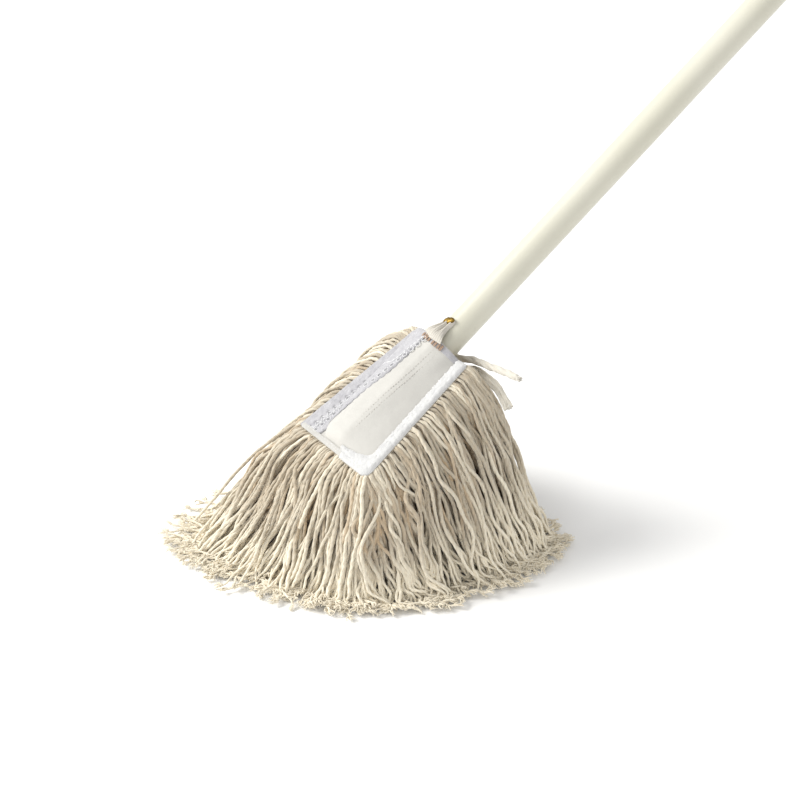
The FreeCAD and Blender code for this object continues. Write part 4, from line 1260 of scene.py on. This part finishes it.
# Stations round the pocket: share along the edge, heading in degrees, how far out the tips lie, how
# round the strands' shoulder is, and how much of the yarn stands between this station and the next.
# Along the front and the back the share runs from the left corner to the right one.
STATIONS = {
    "left": [
        (0.00, 251, 0.136, 0.05, 0.14),
        (0.10, 240, 0.129, 0.12, 0.26),
        (0.50, 207, 0.088, 0.78, 0.28),
        (0.90, 190, 0.082, 1.15, 0.12),
        (1.00, 160, 0.084, 0.85, 0.14),
        (1.00, 126, 0.086, 0.20, 0.0),
    ],
    "right": [
        (0.00, -30, 0.056, 0.10, 0.08),
        (0.06, 0, 0.066, 0.20, 0.08),
        (0.12, 14, 0.075, 0.30, 0.26),
        (0.50, 24, 0.096, 0.46, 0.30),
        (0.90, 30, 0.098, 0.40, 0.14),
        (1.00, 38, 0.098, 0.32, 0.10),
        (1.00, 52, 0.098, 0.20, 0.0),
    ],
    "front": [
        (0.00, -109, 0.136, 0.05, 0.13),
        (0.10, -103, 0.130, 0.12, 0.36),
        (0.50, -92, 0.104, 0.12, 0.36),
        (0.98, -68, 0.061, 0.15, 0.15),
        (1.00, -30, 0.056, 0.10, 0.0),
    ],
    "back": [
        (0.00, 118, 0.080, 0.0, 0.30),
        (0.25, 100, 0.078, 0.0, 0.20),
        (0.75, 80, 0.078, 0.0, 0.30),
        (1.00, 62, 0.080, 0.0, 0.0),
    ],
}
# Each sub-layer from the top one in: how far under the edge it starts, its share of the reach, how
# steeply it falls, and how light its yarn is; the deeper sub-layers are darker and browner, which is
# painted shade between the strands.
SUB_LAYERS = {
    "outer": [(0.0000, 1.0, 0.0, 0.62), (0.0030, 0.96, 0.06, 0.55), (0.0052, 0.92, 0.12, 0.42)],
    "inner": [(0.0072, 0.90, 0.20, 0.16), (0.0098, 0.80, 0.36, 0.04)],
    "back": [(0.0, 1.0, 0.1, 0.5), (0.006, 0.72, 0.4, 0.2)],
}
# Piece, node, side of the pocket, layer, strands in each sub-layer, seed.
YARN_PIECES = [
    ("yarn_left_top", "yarn_left_outer", "left", "outer", 44, 31),
    ("yarn_left_low", "yarn_left_inner", "left", "inner", 68, 32),
    ("yarn_front_top", "yarn_front_outer", "front", "outer", 42, 33),
    ("yarn_front_low", "yarn_front_inner", "front", "inner", 68, 34),
    ("yarn_right_top", "yarn_right_outer", "right", "outer", 48, 35),
    ("yarn_right_low", "yarn_right_inner", "right", "inner", 70, 36),
    ("yarn_behind", "yarn_back", "back", "back", 32, 37),
]
RINGS = 62
CLUMP = 3  # strands that lie together
STRAY_SHARE = 0.14  # of the strands leave their clump
TWIST = 0.017  # metres for one turn of the plies
LANDING = 0.90  # the share of its reach at which a strand meets the floor
FALL = 0.90  # the share of a strand that hangs before it lies on the floor
PLIES_AT_TIP = 7
TIP_CLEARANCE = 0.0009  # the least height of a frayed tip's middle over the floor
ROOT_INSET = 0.0035  # how far in from the edge a strand is sewn
ROOT_SINK = 0.0008


def edge_point(side, share):
    """Places on the panel's edge in the head frame. Side is left, right, front or back."""
    along = 2 * share - 1
    if side == "back":
        return on_plane(HALF_BACK * along, HALF_LENGTH - 0.004, -0.019)
    if side == "front":
        return on_plane(*corners_rounded(HALF_FRONT * along, np.full_like(along, -HALF_LENGTH)))
    y = HALF_LENGTH * along
    return on_plane(*corners_rounded(edge_x(y) * (-1 if side == "left" else 1), y))


def roots(side, count, rng):
    """Root points, headings, reaches and shoulders for evenly spread strands."""
    table = np.array(STATIONS[side])
    marks = np.concatenate([[0], np.cumsum(table[:-1, 4])])
    at = (np.arange(count) + 0.5 + rng.uniform(-0.3, 0.3, count)) / count
    share, heading, reach, shoulder = (np.interp(at, marks / marks[-1], column) for column in table.T[:4])
    return HEAD.world(edge_point(side, share)), np.radians(heading), reach, shoulder


def level(angle):
    """Level unit vectors in the given directions."""
    return on_plane(np.cos(angle), np.sin(angle))


def fallen(root, heading, reach, shoulder, steep):
    """Smooth arcs from the roots out and down to the floor, and on along it to the full reach."""
    drop = root[:, 2] - YARN_RADIUS
    land = reach * LANDING
    near = (0.33 + 0.28 * shoulder - 0.16 * steep) * land
    far = (0.54 + 0.36 * shoulder - 0.16 * steep) * land
    near_height = (0.97 + 0.10 * shoulder - 0.08 * steep) * drop
    far_height = (0.10 + 0.36 * shoulder) * drop
    share = np.linspace(0, 1, RINGS)
    fall = np.clip(share / FALL, 0, 1)
    weights = ((1 - fall) ** 3, 3 * fall * (1 - fall) ** 2, 3 * fall**2 * (1 - fall), fall**3)
    out = np.stack([0 * land, near, far, land], axis=-1) @ weights
    height = np.stack([drop, near_height, far_height, 0 * drop], axis=-1) @ weights
    out = out + np.clip((share - FALL) / (1 - FALL), 0, 1) * (reach - land)[:, None]
    paths = root[:, None] + level(heading)[:, None] * out[..., None]
    paths[..., 2] += height - drop[:, None]
    return paths


def clumped(paths, group, pull):
    """Draws strands towards the middle of their group."""
    totals = np.zeros((group.max() + 1, *paths.shape[1:]))
    np.add.at(totals, group, paths)
    centres = totals / np.bincount(group)[:, None, None]
    return paths + (centres[group] - paths) * pull


def strand_paths(root, heading, reach, shoulder, steep, rng):
    """Centre lines of a sub-layer's strands: arcs that clump, wander, kink and cross."""
    count = len(root)
    group = np.arange(count) // CLUMP
    groups = group.max() + 1
    share = np.linspace(0, 1, RINGS)

    def each(low, high):
        return rng.uniform(low, high, count)[:, None]

    def each_group(low, high):
        return rng.uniform(low, high, groups)[group][:, None]

    def swing(turns, start):
        return np.sin(FULL_TURN * turns * share + start)

    stray = rng.uniform(0, 1, count) < STRAY_SHARE
    reach = reach * (0.97 + 0.055 * rng.standard_normal(count))
    heading = heading + np.radians(6.0 + 12.0 * stray) * rng.standard_normal(count)
    paths = fallen(root, heading, reach, shoulder + 0.12 * stray, steep)
    pull = 0.42 * ease(share, 0.12, 0.45) * (1 - 0.5 * ease(share, 0.75, 1.0))
    paths = clumped(paths, group, np.where(stray[:, None], 0.0, pull)[..., None])
    sway = (0.0062 * rng.standard_normal(groups))[group][:, None]
    drift = sway * swing(each_group(0.55, 1.15), each_group(0, FULL_TURN))
    own, own_turns, own_start = 0.0032 * each(0.3, 1.5), each(1.0, 2.6), each(0, FULL_TURN)
    small = 0.00115 * each(0.2, 1.6) * (0.7 + 0.9 * ease(share, 0.5, 0.9))
    small_turns, small_start = each(3.4, 6.6), each(0, FULL_TURN)
    wave = own * swing(own_turns, own_start)
    kinks = small * swing(small_turns, small_start)
    bob = own * 0.8 * swing(own_turns, own_start + 1.7) + small * swing(small_turns, small_start + 0.9)
    curl = 0.011 * rng.standard_normal(count)[:, None] * ease(share, 0.78, 1.05)
    swell = (1 - steep) * 0.0018 * np.sin(math.pi * np.clip(share / 0.13, 0, 1))
    grown = ease(share, 0.05, 0.38)
    aside, ahead = level(heading + math.pi / 2)[:, None], level(heading)[:, None]
    up = np.array([0, 0, 1.0])
    paths = paths + aside * ((drift + wave + kinks) * grown + curl)[..., None]
    paths = paths + (ahead * 0.55 + up * 0.8) * (bob * grown)[..., None]
    paths = paths + (up * 0.9 + ahead * 0.3) * swell[:, None]
    lifted = np.abs(rng.standard_normal(count))[:, None] * 0.0026 * ease(share, 0.75, 0.95)
    paths[..., 2] = np.maximum(paths[..., 2], YARN_RADIUS + lifted)
    return paths


def frayed_tips(paths, rng, tone):
    """The plies that spring apart at each strand's cut end."""
    rings = 6
    grow = np.linspace(0, 1, rings)[:, None]

    def each(draw, *limits):
        return draw(*limits, (len(paths), PLIES_AT_TIP, 1))[:, :, None]

    direction = unit(paths[:, -1] - paths[:, -4])
    side = unit(np.cross(direction, np.array([0, 0, 1.0])) + 1e-9)
    up = np.cross(side, direction)
    direction, side, up = (vectors[:, None, None] for vectors in (direction, side, up))
    spread = each(rng.standard_normal) * 0.0024
    rise = each(rng.uniform, -0.0006, 0.0028)
    curl = each(rng.standard_normal) * 0.0024
    ahead = direction * (each(rng.uniform, 0.004, 0.0095) * grow - 0.0025)
    aside = side * (spread * grow**1.5 + curl * np.sin(3.1 * grow) * grow)
    lines = paths[:, -1][:, None, None] + ahead + aside + up * (rise * np.sin(2.2 * grow))
    lines = lines.reshape(-1, rings, 3)
    lines[..., 2] = np.maximum(lines[..., 2], TIP_CLEARANCE)
    sizes = np.tile(YARN_RADIUS * (0.58 - 0.36 * grow[:, 0]), (len(lines), 1))
    # painted light: the frayed tips take tones from 0.88 up, towards the near-white tip colour
    return with_tone(tubes(lines, sizes, 5), np.repeat(0.88 + 0.12 * tone, PLIES_AT_TIP))


def strand_tubes(paths, lightness, variety, rng):
    """Strands with their twist, slubs and frayed tips; they grow lighter towards the floor, painted light on the
    lower strands and tips.
    """
    count = len(paths)
    tone = np.clip(lightness + variety * rng.standard_normal(count), 0, 1)
    share = np.linspace(0, 1, RINGS)
    thickness = YARN_RADIUS * (1 + 0.10 * rng.standard_normal(count))[:, None]
    sizes = thickness * (0.84 + 0.16 * ease(share, 0.0, 0.05)) * (1 - 0.38 * ease(share, 0.62, 1.0))
    sizes = sizes * (1 + 0.06 * np.sin(share * 60 + rng.uniform(0, 6, count)[:, None]))
    # painted light: the tone rises towards the tip colour along each strand's lower part
    lighter = np.clip(tone[:, None] + 0.95 * ease(share, 0.42, 0.82) * (0.98 - tone[:, None]), 0, 1)
    made = tubes(paths, sizes, 8, 2, 0.13, TWIST, rng.uniform(0, FULL_TURN, count))
    return [with_tone(made, lighter), frayed_tips(paths, rng, tone)]


def make_yarn(name, node, side, layer, count, seed):
    """The strands of one node: its sub-layers one under the other."""
    rng = np.random.default_rng(seed)
    parts = []
    # each sub-layer's lightness: the deeper ones darker and browner, painted shade
    for sink, share, steep, lightness in SUB_LAYERS[layer]:
        root, heading, reach, shoulder = roots(side, count, rng)
        root = root - level(heading) * ROOT_INSET
        root[:, 2] = root[:, 2] - sink - ROOT_SINK
        paths = strand_paths(root, heading, reach * share, shoulder * (1 - steep), steep, rng)
        parts += strand_tubes(paths, lightness, 0.16, rng)
    tube_piece(name, node, "yarn", joined(parts), YARN)


def make_under_yarn():
    """The strands that hang from the lower canvas in the middle of the head."""
    rng = np.random.default_rng(47)
    count = 84
    x = rng.uniform(-0.036, 0.036, count)
    y = rng.uniform(-0.062, 0.048, count)
    root = HEAD.world(on_plane(x, y, base_depth(x, y) + 0.001))
    heading = np.arctan2(root[:, 1] + 0.01, root[:, 0]) + rng.normal(0, 0.3, count)
    reach = rng.uniform(0.02, 0.05, count)
    paths = strand_paths(root, heading, reach, np.zeros(count), 0.7, rng)
    # tone 0.15: dark and brown, painted shade under the head
    tube_piece("yarn_middle", "yarn_under", "yarn", joined(strand_tubes(paths, 0.15, 0.15, rng)), YARN)


# ---------------------------------------------------------------- the CAD nodes that show, and the floor


def finish_node(name, surface):
    """Gives a CAD node its finish."""
    slots = nodes[name].material_slots
    if not slots:
        nodes[name].data.materials.append(surface.material)
    for slot in slots:
        slot.material = surface.material


def make_floor():
    """A plain pale floor."""
    half, below = 6.0, -0.0005
    corners = [(-half, -half, below), (half, -half, below), (half, half, below), (-half, half, below)]
    surface = Surface("pale_floor", (0.93, 0.93, 0.925), 0.9, specular=0.1)
    patches = surface.noise(2.0, 2)
    surface.finish(surface.ramp(patches, (0.3, (0.925, 0.925, 0.92)), (0.7, (0.94, 0.94, 0.935))))
    quad_piece("floor", corners, [(0, 1, 2, 3)], surface, body=None)


make_camera()
make_lights()
make_floor()
make_tie_end(
    "tie_cord_long", "tie_end_long", TIE_LONG_ROUTE, 61, twisted_plies, (90, 0.0068, 0.0011, 0.00034)
)
make_tie_end("tie_cord_short", "tie_end_short", TIE_SHORT_ROUTE, 62, flat_plies, (60, 0.0042, 0.0007, 0.0003))
make_knot()
make_tie_band()
make_canvas_top()
make_canvas_base()
make_left_hem()
make_right_hem()
make_front_hem()
make_heading_tape()
make_piping()
make_mouth_binding()
make_left_stitches()
make_straight_stitches()
make_bar_tack()
make_loop()
make_nail()
for details in YARN_PIECES:
    make_yarn(*details)
make_under_yarn()
finish_node("handle_pole", painted_wood())
finish_node("handle_core", bare_wood())
finish_node("core_screws", zinc())
finish_node("handle_cap", moulded_plastic())
